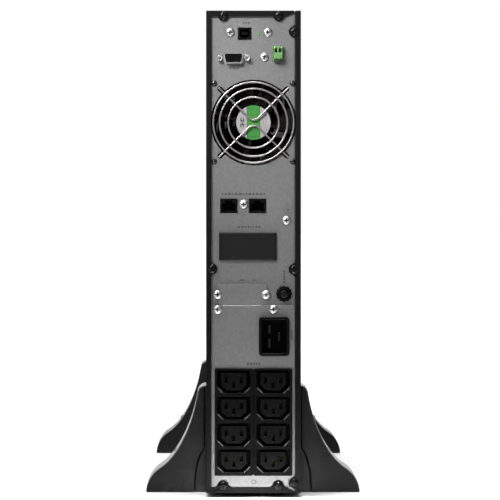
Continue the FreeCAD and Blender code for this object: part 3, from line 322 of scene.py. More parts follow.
flake_paint("panel_grey", 0.082)
plate, plate_paint = flake_paint("plate_grey", 0.082)
# painted highlight: a paler band along the plate's top edge, where the light above catches it
painted_highlight = plate.axis("Z") > plate_high.z - HIGHLIGHT_BAND
plate.set(Base_Color=plate.blend(painted_highlight, plate_paint, grey(0.15)))
# The sealing line in this print is the painted shadow line, and the top is the painted highlight.
print("flakes", FLAKE, "mm, sealing line", SHADOW_LINE_WIDE, "mm, worn top", HIGHLIGHT_BAND, "mm")

# %% [markdown]
# ## Bare and plated metals
# Screws, guard wire, shells and blades are metal with different histories. Turned and drawn metal
# has lines along the way it was made, which stretched noise gives, and nickel plating is nearly
# plain but never even. Black screws are lacquered steel: they share the relief but aren't shaded
# as metal.

# %% Recipe for metals
def metal(name, colour, rough, lines=(1, 1, 1), size=0.5, wander=0.15, depth=0.004):
    made = Finish(name)
    streak = made.noise(size, 4, lines)
    cloud = made.noise(12, 2)
    dark = tuple(part * (1 - wander) for part in colour)
    made.set(Base_Color=made.blend(streak * 0.5 + cloud * 0.5, dark, colour))
    made.set(Roughness=rough + (streak - 0.5) * 0.2 + (cloud - 0.5) * 0.08)
    made.set(Metallic=1.0)
    made.relief(streak, depth)
    finishes[name] = made.material
    return made


screw = metal("bright_screw", grey(0.42, 0.01), 0.30)
guard = metal("guard_wire", (0.145, 0.138, 0.138), 0.32, size=0.8)
guard.set(Metallic=0.75)
shell = metal("tin_shell", (0.55, 0.54, 0.52), 0.28, lines=(1, 0.2, 1))
# painted shade: the inlet's blades sit deep in their pocket and are painted nearly black
metal("blade_metal", (0.014, 0.0135, 0.013), 0.45, lines=(1, 0.2, 1))
# painted shade: the contacts deep in the outlet slots are painted a nearly black brass
metal("contact_brass", (0.020, 0.016, 0.010), 0.5)
metal("heatsink_metal", (0.55, 0.56, 0.58), 0.42, lines=(1, 0.05, 1), size=0.4)
black_screw = metal("black_screw", grey(0.0014), 0.22)
black_screw.set(Metallic=0.0, Specular_IOR_Level=0.05, Coat_Weight=0.12, Coat_Roughness=0.04)
metal("screw_recess", grey(0.012), 0.5)
print(len(finishes), "finishes so far")

# %% [markdown]
# ## Blackened screws and a shell painted dark
# The four screws round the fan are blackened where the others are bright, though all of them are
# one sort of screw and one finish. The finish can tell them apart by where they are: everything
# within a circle round the fan's axis is dark. In the same way the square socket's shell, which
# sits higher than the nine-way one, is painted dark: a painted reflection of the dim room before it.

# %% Darken what is near the fan, and the upper shell
FAN_SCREWS_WITHIN = 56.0
fan_low, fan_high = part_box("fan_frame")
fan_x, fan_z = (fan_low.x + fan_high.x) / 2 / MM, (fan_low.z + fan_high.z) / 2 / MM
sideways, upwards = screw.axis("X") - fan_x, screw.axis("Z") - fan_z
near_fan = (sideways * sideways + upwards * upwards) ** 0.5 < FAN_SCREWS_WITHIN
bright = screw.blend(screw.noise(0.6, 3), grey(0.30), grey(0.42))
screw.set(Base_Color=screw.blend(near_fan, bright, grey(0.05)))
square_shell_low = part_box("usb_port")[0].z / MM - 1
plated = shell.blend(shell.noise(0.8, 2), grey(0.45), grey(0.58))
# painted reflection: the shell above this height is painted dark, for the dim room it reflects
shell.set(Base_Color=shell.blend(shell.axis("Z") > square_shell_low, plated, grey(0.05)))
# the height printed here is where the painted reflection starts
print("tarnished above", round(square_shell_low, 1), "mm")
print("blackened within", FAN_SCREWS_WITHIN, "mm of the fan's axis")

# %% [markdown]
# ## Galvanised sheet and copper winding
# Galvanised sheet shows frozen crystals, which large flat Voronoi cells give, each with its own
# grey and its own gloss. The coils' enamelled wire lies in close turns, which a wave texture draws
# as colour and as relief at once.

# %% Zinc and winding
zinc = metal("zinc_sheet", (0.60, 0.62, 0.64), 0.36)
spangle = zinc.node("ShaderNodeSeparateColor", None, {0: zinc.cells(9, "Color")}, out=0)
zinc.set(Base_Color=zinc.blend(spangle, (0.50, 0.52, 0.54), (0.62, 0.64, 0.66)))
zinc.set(Roughness=0.3 + spangle * 0.2)

winding = metal("winding", (0.72, 0.30, 0.12), 0.3)
wave = {"Vector": winding.place, "Scale": 0.35}
turns = winding.node("ShaderNodeTexWave", {"bands_direction": "DIAGONAL"}, wave)
winding.set(Base_Color=winding.blend(turns, (0.32, 0.10, 0.04), (0.78, 0.36, 0.15)))
winding.relief(turns, 0.3)
print(len(finishes), "finishes so far")

# %% [markdown]
# ## Green nylon
# The emergency-off connector is bright green nylon, which lets a little light in, so its own
# subsurface value is raised slightly. Its wire entries are deep and narrow, darker than the
# studio's soft light can make them, so the walls of the entries are shaded darker, and the brass
# clamp at their end shows as a dull brown.

# %% Green nylon with dark entries
ENTRIES_HALF, ENTRIES_LOW, ENTRIES_HIGH, ENTRIES_DEEP = 3.2, 0.2, 4.6, 1.7
CLAMP_HALF, CLAMP_DEEP = 2.6, 7.5
nylon = plain("green_plastic", (0.030, 0.080, 0.019), 0.42, grain=0.4, wander=0.10)
nylon.set(Subsurface_Weight=0.08, Subsurface_Scale=0.002)
plug_low, plug_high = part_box("epo_plug")
plug_x, plug_z = (plug_low.x + plug_high.x) / 2 / MM, (plug_low.z + plug_high.z) / 2 / MM
off_centre, into = abs(nylon.axis("X") - plug_x), nylon.axis("Y") - plug_low.y / MM
height = nylon.axis("Z") - plug_z
inside = (off_centre < ENTRIES_HALF) * (into > ENTRIES_DEEP)
inside = inside * (height > ENTRIES_LOW) * (height < ENTRIES_HIGH)
clamp = (off_centre < CLAMP_HALF) * (into > CLAMP_DEEP)
shade = nylon.blend(clamp, (0.002, 0.004, 0.002), (0.10, 0.05, 0.02))
tone = nylon.blend(nylon.noise(0.6, 2), (0.026, 0.068, 0.016), (0.034, 0.092, 0.022))
nylon.set(Base_Color=nylon.blend(inside, tone, shade))
print("entries darkened from", ENTRIES_DEEP, "mm inside the plug")

# %% [markdown]
# ## Circuit boards and the smoked window
# The circuit boards are green solder resist over copper tracks: two stretched noises make tracks
# that run along and across the board. The display window is smoked glass, dark with a clear coat.

# %% Circuit board and smoked window
board = Finish("board_green")
along = board.noise(2.2, 1, (1, 0.12, 1))
across = board.noise(2.2, 1, (1, 1, 0.12))
tracks = board.smooth(abs(along - 0.5), 0.03, 0.05) * board.smooth(abs(across - 0.5), 0.03, 0.05)
board.set(Base_Color=board.blend(tracks, (0.03, 0.16, 0.06), (0.012, 0.075, 0.03)))
board.set(Roughness=0.3 + tracks * 0.1, Coat_Weight=0.3)
board.relief(tracks, 0.05)
finishes["board_green"] = board.material

window = plain("display_glass", (0.012, 0.014, 0.018), 0.12, grain=3, depth=0.002)
window.set(Coat_Weight=1.0, Coat_Roughness=0.04)
print(len(finishes), "finishes, with the boards' and the window's")

# %% [markdown]
# ## The fan's sticker
# The round sticker on the motor is dull grey paper. A broad green band runs down its middle, with
# a mottled square framed in it, a few dark slanting strokes stand on one side of the band, and
# fine curved rules on the other. It is all flat printing, so it's a matter of colour only: each
# figure is a mask worked out in millimetres from the fan's axis, and the masks are laid over each
# other like inks. The strokes are plain, with no letters in them.

# %% Print the sticker
hub_low, hub_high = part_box("fan_label")
hub = (hub_low + hub_high) / 2 / MM
sticker = Finish("fan_sticker")
across = sticker.axis("X") - hub.x
upward = sticker.axis("Z") - hub.z
radius = (across * across + upward * upward) ** 0.5
ragged = (sticker.noise(2.5, 2) - 0.5) * 0.8
sideways = abs(across) + ragged
away = abs(upward)
BAND_HALF, HEART_HALF = 6.2, 6.8
band = sideways < BAND_HALF
heart = (away < HEART_HALF) * band
frames = (abs(away - 6.9) < 0.45) | (abs(sideways - 6.0) < 0.4) | (abs(away - 12.8) < 0.25)
RULE_EVERY, RULE_WIDE, RULES_FROM, RULES_HALF = 2.2, 0.5, 7.0, 9.5
rules = ((radius % RULE_EVERY) < RULE_WIDE) * (across > RULES_FROM) * (away < RULES_HALF)
STROKES_AT, STROKES_WIDE, STROKES_HIGH, STROKE_EVERY, STROKE_WIDE = 10.2, 1.9, 4.4, 2.4, 0.9
slant = (across + 10.8 + upward * 0.35) % STROKE_EVERY
hatched = (slant < STROKE_WIDE) | (abs(away - 1.7) < 0.6)
strokes = (abs(across + STROKES_AT) < STROKES_WIDE) * (away < STROKES_HIGH) * hatched
paper = sticker.blend(sticker.noise(6, 2), (0.080, 0.077, 0.079), (0.130, 0.124, 0.127))
ink = sticker.blend(rules * 0.6, paper, (0.03, 0.022, 0.03))
ink = sticker.blend(strokes, ink, (0.002, 0.002, 0.002))
green = sticker.blend(sticker.noise(2.2, 3), (0.0015, 0.018, 0.0015), (0.007, 0.112, 0.006))
core = sticker.blend(sticker.noise(1.6, 2), (0.015, 0.030, 0.006), (0.009, 0.110, 0.008))
ink = sticker.blend(band, ink, green)
ink = sticker.blend(heart, ink, core)
ink = sticker.blend(frames * band * 0.7, ink, (0.0015, 0.02, 0.002))
sticker.set(Base_Color=ink, Roughness=0.45 + (sticker.noise(1.5) - 0.5) * 0.1)
sticker.set(Specular_IOR_Level=0.35)
finishes["fan_sticker"] = sticker.material
print("sticker", round((hub_high.x - hub_low.x) / MM, 1), "mm across")

# %% [markdown]
# ## Put the finishes on
# Each node's finish is the material slot that its record names, so this is one loop. A node whose
# slot has no finish would stop the script here, which is better than a grey piece nobody notices.
# Two pieces differ from the rest of their slot: the reset button is polished by fingers, and the
# blank cover of the card slot is a paler, rougher black.

# %% Assign by slot
def dress(piece, name):
    piece.data.materials.clear()
    piece.data.materials.append(finishes[name])
    return piece


polished = plain("polished_black", grey(0.0012), 0.20, grain=0.8, depth=0.003, specular=0.06)
polished.set(Coat_Weight=0.12, Coat_Roughness=0.04)
plain("cover_black", grey(0.0036), 0.42, grain=0.8, depth=0.03, wander=0.15, specular=0.07)
special = {"breaker_button": "polished_black", "slot_cover": "cover_black"}
for name, piece in nodes.items():
    dress(piece, special.get(name, slot_of[name]))
print("dressed", len(nodes), "nodes, of which", len(special), "specially")

# %% [markdown]
# ## Edges that catch light
# CAD edges are perfectly sharp, and real ones aren't: a folded sheet turns round a radius, and a
# moulded part has every edge eased. The eye reads that thin highlight as the material's thickness.
# A node's own mesh must stay as it is, so a copy takes its place: the copy's split faces are
# welded, and every edge that turns more than 30 degrees gets a small round. Widths are a few
# tenths of a millimetre on sheet metal and sockets, and up to one millimetre on the big mouldings.

# %% Round a node's edges in a copy
WELD = 0.002 * MM
SHADING = ("custom_normal", "sharp_face", "sharp_edge")
bodies = frame["record"]["behaviour"]["bodies"]
body_of = {name: body for body, names in bodies.items() for name in names}


def eased(node, width, steps=2, turn=30):
    source = nodes[node]
    mesh = bpy.data.meshes.new(f"eased_{node}")
    bm = bmesh.new()
    bm.from_mesh(source.data)
    bmesh.ops.remove_doubles(bm, verts=bm.verts, dist=WELD)
    sharp = [e for e in bm.edges if e.is_manifold and e.calc_face_angle(0) > math.radians(turn)]
    bmesh.ops.bevel(
        bm, geom=sharp, offset=width * MM, offset_type="OFFSET", segments=steps, profile=0.5,
        affect="EDGES", clamp_overlap=False, miter_outer="ARC", loop_slide=True,
    )
    bmesh.ops.dissolve_degenerate(bm, dist=0.0005 * MM, edges=bm.edges)
    bmesh.ops.triangulate(bm, faces=[f for f in bm.faces if len(f.verts) > 4], ngon_method="EAR_CLIP")
    bm.to_mesh(mesh)
    bm.free()
    for carried in [layer.name for layer in mesh.attributes if layer.name in SHADING]:
        mesh.attributes.remove(mesh.attributes[carried])
    mesh.shade_smooth()
    mesh.set_sharp_from_angle(angle=math.radians(50))
    piece = bpy.data.objects.new(f"eased_{node}", mesh)
    scene.collection.objects.link(piece)
    weighted = piece.modifiers.new("even_normals", "WEIGHTED_NORMAL")
    weighted.keep_sharp = True
    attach(piece, body_of[node])
    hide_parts(node)
    return dress(piece, special.get(node, slot_of[node]))


easing = {
    "chassis_tray": 0.3, "side_cover": 0.3, "slot_cover": 0.4,
    "outlet_block_left": 0.3, "outlet_block_right": 0.3, "inlet_housing": 0.5,
    "network_jack_left": 0.25, "network_jack_right": 0.25, "usb_port": 0.2,
    "epo_socket": 0.3, "epo_plug": 0.3, "breaker_body": 0.3,
    "fan_frame": 0.4, "front_bezel": 0.8, "battery_door": 0.6, "display_turntable": 0.5,
    "stand_rear_left": 1.0, "stand_rear_right": 1.0, "stand_front_left": 1.0, "stand_front_right": 1.0,
    "tray_handle": 0.5, "battery_front_plate": 0.2, "batteries": 0.8, "battery_tray": 0.2,
}
for node, width in easing.items():
    piece = eased(node, width)
    print(f"{node}: edges eased {width} mm, {len(piece.data.polygons)} faces")

# %% [markdown]
# ## Screws with dark crosses
# A screw's cross is dark because hardly any light gets out of it again. The copy of each set of
# screws is searched screw by screw: every face that lies near a screw's axis and below the top of
# its head belongs to the cross, and takes a second, dark finish.

# %% Darken the crosses
HEAD_HIGH, HEAD_EASE, CROSS_SINK = 2.0, 0.12, 0.25


def crossed(node, width, reach, sink):
    piece = eased(node, width)
    piece.data.materials.append(finishes["screw_recess"])
    bm = bmesh.new()
    bm.from_mesh(piece.data)
    left, count, screws = set(bm.faces), 0, 0
    while left:
        island, edge_of = [], [left.pop()]
        while edge_of:
            face = edge_of.pop()
            island.append(face)
            for near in {f for edge in face.edges for f in edge.link_faces} & left:
                left.discard(near)
                edge_of.append(near)
        places = [vert.co for face in island for vert in face.verts]
        x = (min(p.x for p in places) + max(p.x for p in places)) / 2
        z = (min(p.z for p in places) + max(p.z for p in places)) / 2
        top = min(p.y for p in places)
        screws += 1
        for face in island:
            middle = face.calc_center_median()
            off_axis = math.hypot(middle.x - x, middle.z - z)
            if top + sink * MM < middle.y < top + HEAD_HIGH * MM and off_axis < reach * MM:
                face.material_index = 1
                count += 1
    bm.to_mesh(piece.data)
    bm.free()
    print(f"{node}: {screws} screws, {count} faces in the crosses")


for node, reach in (("panel_screws", 2.0), ("cover_screws", 2.0), ("jack_screws", 1.75)):
    crossed(node, HEAD_EASE, reach, CROSS_SINK)

# %% [markdown]
# ## Punched plates
# The rear panel, the lower plate and the small port cover are flat sheets with many holes. Easing
# a triangulated sheet leaves creases between the holes, so these are drawn the way a punch makes
# them: the outline of the front face and of every hole is read from the node, the outlines fill a
# flat curve, and the curve's own bevel rounds both rims of every edge. The outline is drawn in by
# the width of the bevel, so the plate keeps its size.

# %% Make a plate again from its outlines
def outlines(node):
    """Loops of points round the node's rear-facing flat, holes running the other way."""
    bm = bmesh.new()
    bm.from_mesh(nodes[node].data)
    bmesh.ops.remove_doubles(bm, verts=bm.verts, dist=WELD)
    rear = min(v.co.y for v in bm.verts)
    flat = {f for f in bm.faces if f.normal.y < -0.9 and f.calc_center_median().y < rear + 0.05 * MM}
    after = {}
    for face in flat:
        for corner in face.loops:
            if sum(f in flat for f in corner.edge.link_faces) == 1:
                after.setdefault(corner.vert, corner.link_loop_next.vert)
    loops = []
    while after:
        start, here = after.popitem()
        loop = [start.co.copy()]
        while here in after:
            loop.append(here.co.copy())
            here = after.pop(here)
        loops.append(loop)
    depth = max(v.co.y for v in bm.verts) - rear
    bm.free()
    return loops, rear, depth


def punched(node, ease):
    loops, rear, depth = outlines(node)
    curve = bpy.data.curves.new(f"punched_{node}", "CURVE")
    curve.dimensions = "2D"
    curve.fill_mode = "BOTH"
    curve.extrude = depth / 2 - ease * MM
    curve.bevel_depth = ease * MM
    curve.bevel_resolution = 1
    curve.offset = -ease * MM
    for loop in loops:
        spline = curve.splines.new("POLY")
        spline.points.add(len(loop) - 1)
        for point, place in zip(spline.points, loop):
            point.co = (place.x, place.z, 0, 1)
        spline.use_cyclic_u = True
    shape = bpy.data.objects.new(f"punched_{node}", curve)
    scene.collection.objects.link(shape)
    bpy.context.view_layer.update()
    mesh = bpy.data.meshes.new_from_object(shape.evaluated_get(bpy.context.evaluated_depsgraph_get()))
    bpy.data.objects.remove(shape)
    bm = bmesh.new()
    bm.from_mesh(mesh)
    bmesh.ops.remove_doubles(bm, verts=bm.verts, dist=WELD)
    for vert in bm.verts:
        vert.co = (vert.co.x, rear + depth / 2 - vert.co.z, vert.co.y)
    bmesh.ops.recalc_face_normals(bm, faces=bm.faces)
    for face in bm.faces:
        face.smooth = True
    mesh = bpy.data.meshes.new(f"punched_{node}")
    bm.to_mesh(mesh)
    bm.free()
    mesh.set_sharp_from_angle(angle=math.radians(50))
    piece = bpy.data.objects.new(f"punched_{node}", mesh)
    scene.collection.objects.link(piece)
    piece.modifiers.new("even_normals", "WEIGHTED_NORMAL").keep_sharp = True
    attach(piece, body_of[node])
    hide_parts(node)
    return dress(piece, slot_of[node]), len(loops)


for node, ease in (("rear_panel", 0.15), ("outlet_plate", 0.35), ("battery_port_cover", 0.3)):
    piece, count = punched(node, ease)
    low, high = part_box(node)
    grown = max(abs(a - b) for a, b in zip(piece.dimensions, high - low)) / MM
    print(f"{node}: {count} outlines, {len(piece.data.polygons)} faces, size kept within {grown:.2f} mm")

# %% [markdown]
# ## Three ways to draw a new piece
# The pieces that follow aren't in CAD as they are drawn here, so they are skinned from points.
# `joined` skins a row of rings, as a lofted blade or a flat bar needs; `lathed` turns a profile
# round the Y axis, and can cut soft flutes into its outside; `finished` shades the result, puts it
# on its body and dresses it.

# %% Skin, lathe, finish
RIM_BAND = 1.2


def joined(rings, bm):
    """Skins rings of points, each ring closed, and caps the first and last."""
    rows = [[bm.verts.new(point) for point in ring] for ring in rings]
    for low, high in zip(rows, rows[1:]):
        for i in range(len(low)):
            j = (i + 1) % len(low)
            bm.faces.new((low[i], low[j], high[j], high[i]))
    bm.faces.new(list(reversed(rows[0])))
    bm.faces.new(rows[-1])


def finished(name, bm, body, slot, sharp=40, material=None):
    """Turns a bmesh into a smooth-shaded piece that rides on a body."""
    bmesh.ops.recalc_face_normals(bm, faces=bm.faces)
    for face in bm.faces:
        face.smooth = True
    mesh = bpy.data.meshes.new(name)
    bm.to_mesh(mesh)
    bm.free()
    mesh.set_sharp_from_angle(angle=math.radians(sharp))
    piece = bpy.data.objects.new(name, mesh)
    scene.collection.objects.link(piece)
    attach(piece, body)
    return dress(piece, material or slot)


def lathed(bm, profile, centre, turns=64, lobes=0, dip=0.0):
    """Turns a closed profile of (radius, y) round the Y axis; lobes flutes, dip deep, cut its outside."""
    rings = []
    outside = max(r for r, y in profile) - RIM_BAND
    for k in range(turns):
        angle = 2 * math.pi * k / turns
        cut = dip * (1 - math.cos(lobes * angle)) / 2
        turned = [(r - cut if r > outside else r, y) for r, y in profile]
        ring = [centre + Vector((r * math.cos(angle), y, r * math.sin(angle))) * MM for r, y in turned]
        rings.append([bm.verts.new(point) for point in ring])
    for k in range(turns):
        here, there = rings[k], rings[(k + 1) % turns]
        for i in range(len(profile)):
            j = (i + 1) % len(profile)
            bm.faces.new((here[i], here[j], there[j], there[i]))


print("joined, lathed and finished are ready")

# %% [markdown]
# ## The fan's impeller
# Behind the guard turn seven twisted blades. A blade is steep near the hub, where it moves slowly,
# and flatter at the tip, and its section is a thin curved plate with rounded ends. Lofting does
# this: the section is drawn at several radii, each turned to its own pitch and bent round the
# axis, and the rings of points are joined. The hub cup is a lathed profile with a rounded rim.

# %% Draw one section of a blade
def blade_section(chord, half_chord=7, half_thick=0.75, camber=1.6):
    """Points (along, across) round a thin curved plate with rounded ends."""
    points = []
    for k in range(2 * half_chord):
        u = math.cos(math.pi * k / half_chord)
        side = 1 if k < half_chord else -1
        thick = half_thick * math.sqrt(max(0.0, 1 - u * u)) * side
        points.append((u * chord / 2, camber * (1 - u * u) + thick))
    return points


print("a section has", len(blade_section(20)), "points")

# %% Loft the blades and lathe the hub
low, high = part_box("fan_rotor")
axis_x, axis_z = (low.x + high.x) / 2, (low.z + high.z) / 2
tip = (high.x - low.x) / 2 / MM
back, front = low.y / MM, high.y / MM
HUB, BLADES, STATIONS = 16.0, 7, 10
ROOT, TIP_GAP, FACE_GAP = 0.6, 0.3, 0.6
ROOT_PITCH, UNTWIST, ROOT_CHORD, WIDENING, SWEEP = 52, 24, 17, 8, 8
axis_point = Vector((axis_x, 0, axis_z))
middle_y, deepest = (back + front) / 2, (front - back) / 2 - FACE_GAP
cup = [(HUB - 2, back + 0.5), (HUB - 0.5, back + 0.5), (HUB, back + 1), (HUB, front - 1.5),
       (HUB - 1.5, front), (3, front), (2.5, front - 0.5), (2.5, front - 2), (HUB - 2, front - 2)]
bm = bmesh.new()
lathed(bm, cup, axis_point)
for blade in range(BLADES):
    rings = []
    for station in range(STATIONS):
        t = station / (STATIONS - 1)
        r = HUB - ROOT + (tip - TIP_GAP - HUB + ROOT) * t
        pitch = math.radians(ROOT_PITCH - UNTWIST * t)
        ring = []
        for a, b in blade_section(ROOT_CHORD + WIDENING * t):
            along = a * math.cos(pitch) - b * math.sin(pitch)
            depth = max(-deepest, min(deepest, a * math.sin(pitch) + b * math.cos(pitch)))
            angle = 2 * math.pi * blade / BLADES + math.radians(SWEEP) * t + along / r
            point = Vector((r * math.cos(angle), middle_y + depth, r * math.sin(angle)))
            ring.append(point * MM + axis_point)
        rings.append(ring)
    joined(rings, bm)
impeller = finished("impeller_blades", bm, "impeller", "fan_plastic")
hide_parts("fan_rotor")
print("impeller", round(2 * tip, 1), "mm across,", BLADES, "blades")

# %% [markdown]
# ## The breaker's nut
# The ring nut round the reset button is turned by finger, so its outside has a dozen soft flutes.
# Turning a profile while its outer radius swings in and out gives the flutes in one go, with the
# chamfer following them.

# %% Turn the fluted nut
low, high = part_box("breaker_nut")
middle, outer = (low + high) / 2, (high.x - low.x) / 2 / MM
BORE, BORE_EASE, CHAMFER, FLUTES, FLUTE_DEEP = 5.6, 0.3, 0.5, 12, 0.8
near, far = low.y / MM, high.y / MM
ring_section = [(BORE, far), (BORE, near + BORE_EASE), (BORE + BORE_EASE, near), (outer - CHAMFER, near),
                (outer, near + CHAMFER), (outer, far)]
bm = bmesh.new()
lathed(bm, ring_section, Vector((middle.x, 0, middle.z)), 12 * FLUTES, lobes=FLUTES, dip=FLUTE_DEEP)
nut = finished("fluted_nut", bm, "case", "black_plastic", sharp=50)
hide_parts("breaker_nut")
print("nut", round(2 * outer, 1), "mm across,", FLUTES, "flutes")

# %% [markdown]
# ## Printing on the panel
# Beside each socket the real panel has a line of small dark printing. Lettering is left out here,
# but a row of plain dashes keeps the same size and weight, and signs that belong to no maker, such
# as plus, minus and the earth sign, stay. Ink has a thickness, however small, so each figure is a
# thin raised shape just above the paint rather than a picture on it, and it stays crisp at any
# distance. Some print reads up the panel: `upright` turns those rows.

# %% Draw thin raised ink
INK, SUNK = 0.06, 0.02
CUT_SHARE = 0.22


def dashes(x, z, count, length=2.3, height=1.1, gap=0.9, upright=False):
    """Row of dashes centred on (x, z), with lengths that vary as words do."""
    pattern = random.Random(count * 7 + int(abs(z)))
    lengths = [length * pattern.uniform(0.6, 1.3) for _ in range(count)]
    start = -(sum(lengths) + gap * (count - 1)) / 2
    bars = []
    for item in lengths:
        middle = start + item / 2
        bars.append((x, z + middle, height, item) if upright else (x + middle, z, item, height))
        start += item + gap
    return bars


def ink_bar(bm, bar, face):
    """Prints a bar with cut corners on the plane y = face."""
    x, z, w, h = bar
    c = min(w, h) * CUT_SHARE
    outline = [(w / 2 - c, h / 2), (w / 2, h / 2 - c), (w / 2, c - h / 2), (w / 2 - c, -h / 2),
               (c - w / 2, -h / 2), (-w / 2, c - h / 2), (-w / 2, h / 2 - c), (c - w / 2, h / 2)]
    rings = [[Vector((x + a, face - rise, z + b)) * MM for a, b in outline] for rise in (-SUNK, INK)]
    joined(rings, bm)


def ink_ring(bm, x, z, radius, width, face):
    inner = radius - width
    section = [(inner, face + SUNK), (inner, face - INK), (radius, face - INK), (radius, face + SUNK)]
    lathed(bm, section, Vector((x, 0, z)) * MM, 40)


plain("print_ink", grey(0.004), 0.5, grain=0.3, depth=0.01, wander=0.3)
panel_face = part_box("rear_panel")[0].y / MM
plate_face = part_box("outlet_plate")[0].y / MM
case_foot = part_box("chassis_tray")[0].z / MM


def up(height):
    """Height above the floor of a place measured from the bottom of the case."""
    return case_foot + height


print("the case stands", round(case_foot, 1), "mm above the floor")

# %% [markdown]
# Each row of dashes is told by its place, the number of dashes, their length, height and gap, and
# whether it reads upwards. Heights are measured from the bottom of the case.

# %% Print the panel and the lower plate
PANEL_ROWS = {
    "square socket": (-6.4, 428.9, 3, 1.7, 1.7, 0.9, False),
    "nine-way socket": (-17.5, 387.6, 4, 1.7, 1.7, 0.8, False),
    "emergency-off plug": (22.2, 391.6, 3, 1.4, 1.6, 0.7, False),
    "network jacks": (-9.2, 272.7, 13, 2.1, 1.9, 1.1, False),
    "card slot": (-4.2, 242.8, 8, 1.9, 1.8, 1.0, False),
    "breaker": (28.1, 197.2, 5, 1.9, 1.7, 0.6, True),
}
PLATE_ROWS = {
    "outlets": (0, 117.9, 5, 1.9, 2.3, 0.8, False),
    "inlet": (34.9, 144.0, 5, 1.7, 2.5, 0.6, True),
}
POLES_AT, EARTH_X, EARTH_AT = 194.2, 31.5, 258.8
POLES = [(-21.6, 2.2, 0.5), (-10.4, 4.2, 1.1), (0.7, 2.2, 0.6), (0.7, 0.6, 2.2)]
EARTH_BARS = [(260.2, 0.5, 3.4), (258.5, 4.6, 0.5), (257.4, 3.0, 0.5), (256.3, 1.4, 0.5)]


def row_bars(rows):
    return [bar for x, height, *pattern in rows.values() for bar in dashes(x, up(height), *pattern)]


bm = bmesh.new()
poles = [(x, up(POLES_AT), wide, high) for x, wide, high in POLES]
earth = [(EARTH_X, up(height), wide, high) for height, wide, high in EARTH_BARS]
for bar in row_bars(PANEL_ROWS) + poles + earth:
    ink_bar(bm, bar, panel_face)
ink_ring(bm, EARTH_X, up(EARTH_AT), 4.25, 0.28, panel_face)
finished("panel_printing", bm, "case", "black_plastic", material="print_ink")

RING_AT, RING_X = 10.2, 0.2
bm = bmesh.new()
for bar in row_bars(PLATE_ROWS):
    ink_bar(bm, bar, plate_face)
ink_ring(bm, RING_X, up(RING_AT), 2.1, 0.75, plate_face)
ink_bar(bm, (2.9, up(RING_AT), 1.3, 0.9), plate_face)
finished("plate_printing", bm, "case", "black_plastic", material="print_ink")
print("printing stands", INK, "mm above the paint")

# %% [markdown]
# ## Painted highlights and shade beside the outlets
# Outside both lower corners of every outlet the groove's edge catches the light as a fine slanting
# line, which is what the eye finds first in all that black. The line is a painted highlight, and a
# line this thin is better added here than in CAD: it is a low bar with pointed ends, in a paler
# version of the same plastic. The two banks of outlets stand a little apart, and the shade in the
# gap is painted: a dark strip of plastic, set back behind their faces, closes the gap, with a low peak at its
# top.

# %% Add the painted highlight bars and the painted-shade strip between the banks
# A bar's ends are measured from its outlet's middle, and rows from the bottom of the case.
# painted highlight: a paler black for the bars that stand for the light on the groove's edge
plain("painted_highlight_black", grey(0.06), 0.32, grain=0.4, depth=0.01, wander=0.3, specular=0.3)
BAR_FROM, BAR_TO, BAR_WIDE, BAR_HIGH = Vector((14.6, -5.8)), Vector((9.6, -10.6)), 0.45, 0.2
OUTLET_ROWS = (101.8, 77.6, 53.3, 29.6)
bar_along = (BAR_TO - BAR_FROM).normalized() * BAR_WIDE / 2
bar_across = Vector((-bar_along.y, bar_along.x))
bar_corners = [BAR_FROM + bar_across, BAR_FROM - bar_along, BAR_FROM - bar_across,
               BAR_TO - bar_across, BAR_TO + bar_along, BAR_TO + bar_across]
for side in ("left", "right"):
    low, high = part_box(f"outlet_block_{side}")
    middle, face = (low.x + high.x) / 2 / MM, low.y / MM
    bm = bmesh.new()
    for row in OUTLET_ROWS:
        for way in (-1, 1):
            rings = [[Vector((middle + way * corner.x, face - rise, up(row) + corner.y)) * MM
                      for corner in bar_corners] for rise in (-SUNK, BAR_HIGH)]
            joined(rings, bm)
    finished(f"outlet_highlight_bars_{side}", bm, "case", "black_plastic", material="painted_highlight_black")

# painted shade: a dark strip set where shade falls in the gap between the banks
SHOULDER, PEAK, STRIP_FOOT, STRIP_PROUD = 1.5, 0.8, 1.0, 0.5
block_low, block_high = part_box("outlet_block_left")
strip_left = block_high.x / MM - SUNK
strip_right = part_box("outlet_block_right")[0].x / MM + SUNK
strip_low, strip_top = block_low.z / MM + STRIP_FOOT, block_high.z / MM
strip = [(strip_left, strip_low), (strip_right, strip_low), (strip_right, strip_top - SHOULDER),
         ((strip_left + strip_right) / 2, strip_top - PEAK), (strip_left, strip_top - SHOULDER)]
bm = bmesh.new()
joined([[Vector((x, plate_face + rise, z)) * MM for x, z in strip] for rise in (SUNK, -STRIP_PROUD)], bm)
finished("outlet_gap_shade", bm, "case", "black_plastic")
# the ribs in this print are the painted highlight bars
print("ribs", round((BAR_TO - BAR_FROM).length, 1), "mm long")
print("strip", round(strip_right - strip_left, 2), "mm wide")

# %% [markdown]
# ## The signal lamp
# A green lamp the size of a matchstick head looks out between the two upper screws. It's a lathed
# satin dome in a thin ring, faintly lit from inside, which a small emission gives without making
# it a light.

# %% Lathe the lamp
lamp_finish = plain("lamp_green", (0.022, 0.075, 0.030), 0.35, grain=0.6, depth=0.004)
lamp_finish.set(Coat_Weight=0.1, Emission_Color=(0.03, 0.2, 0.06), Emission_Strength=0.05)
LAMP_X, LAMP_AT, LAMP_RADIUS, LAMP_HIGH, POINT = 4.7, 418.5, 1.25, 1.1, 0.0001
lamp_base = panel_face - 0.1
dome = []
for turned in range(0, 91, 15):
    a = math.radians(turned)
    dome.append((LAMP_RADIUS * math.cos(a), lamp_base - LAMP_HIGH * math.sin(a)))
foot_of_lamp = [(POINT, panel_face + 0.05), (LAMP_RADIUS, panel_face + 0.05)]
bm = bmesh.new()
lathed(bm, foot_of_lamp + dome[:-1] + [(POINT, dome[-1][1])], Vector((LAMP_X, 0, up(LAMP_AT))) * MM, 24)
bmesh.ops.remove_doubles(bm, verts=bm.verts, dist=0.005 * MM)
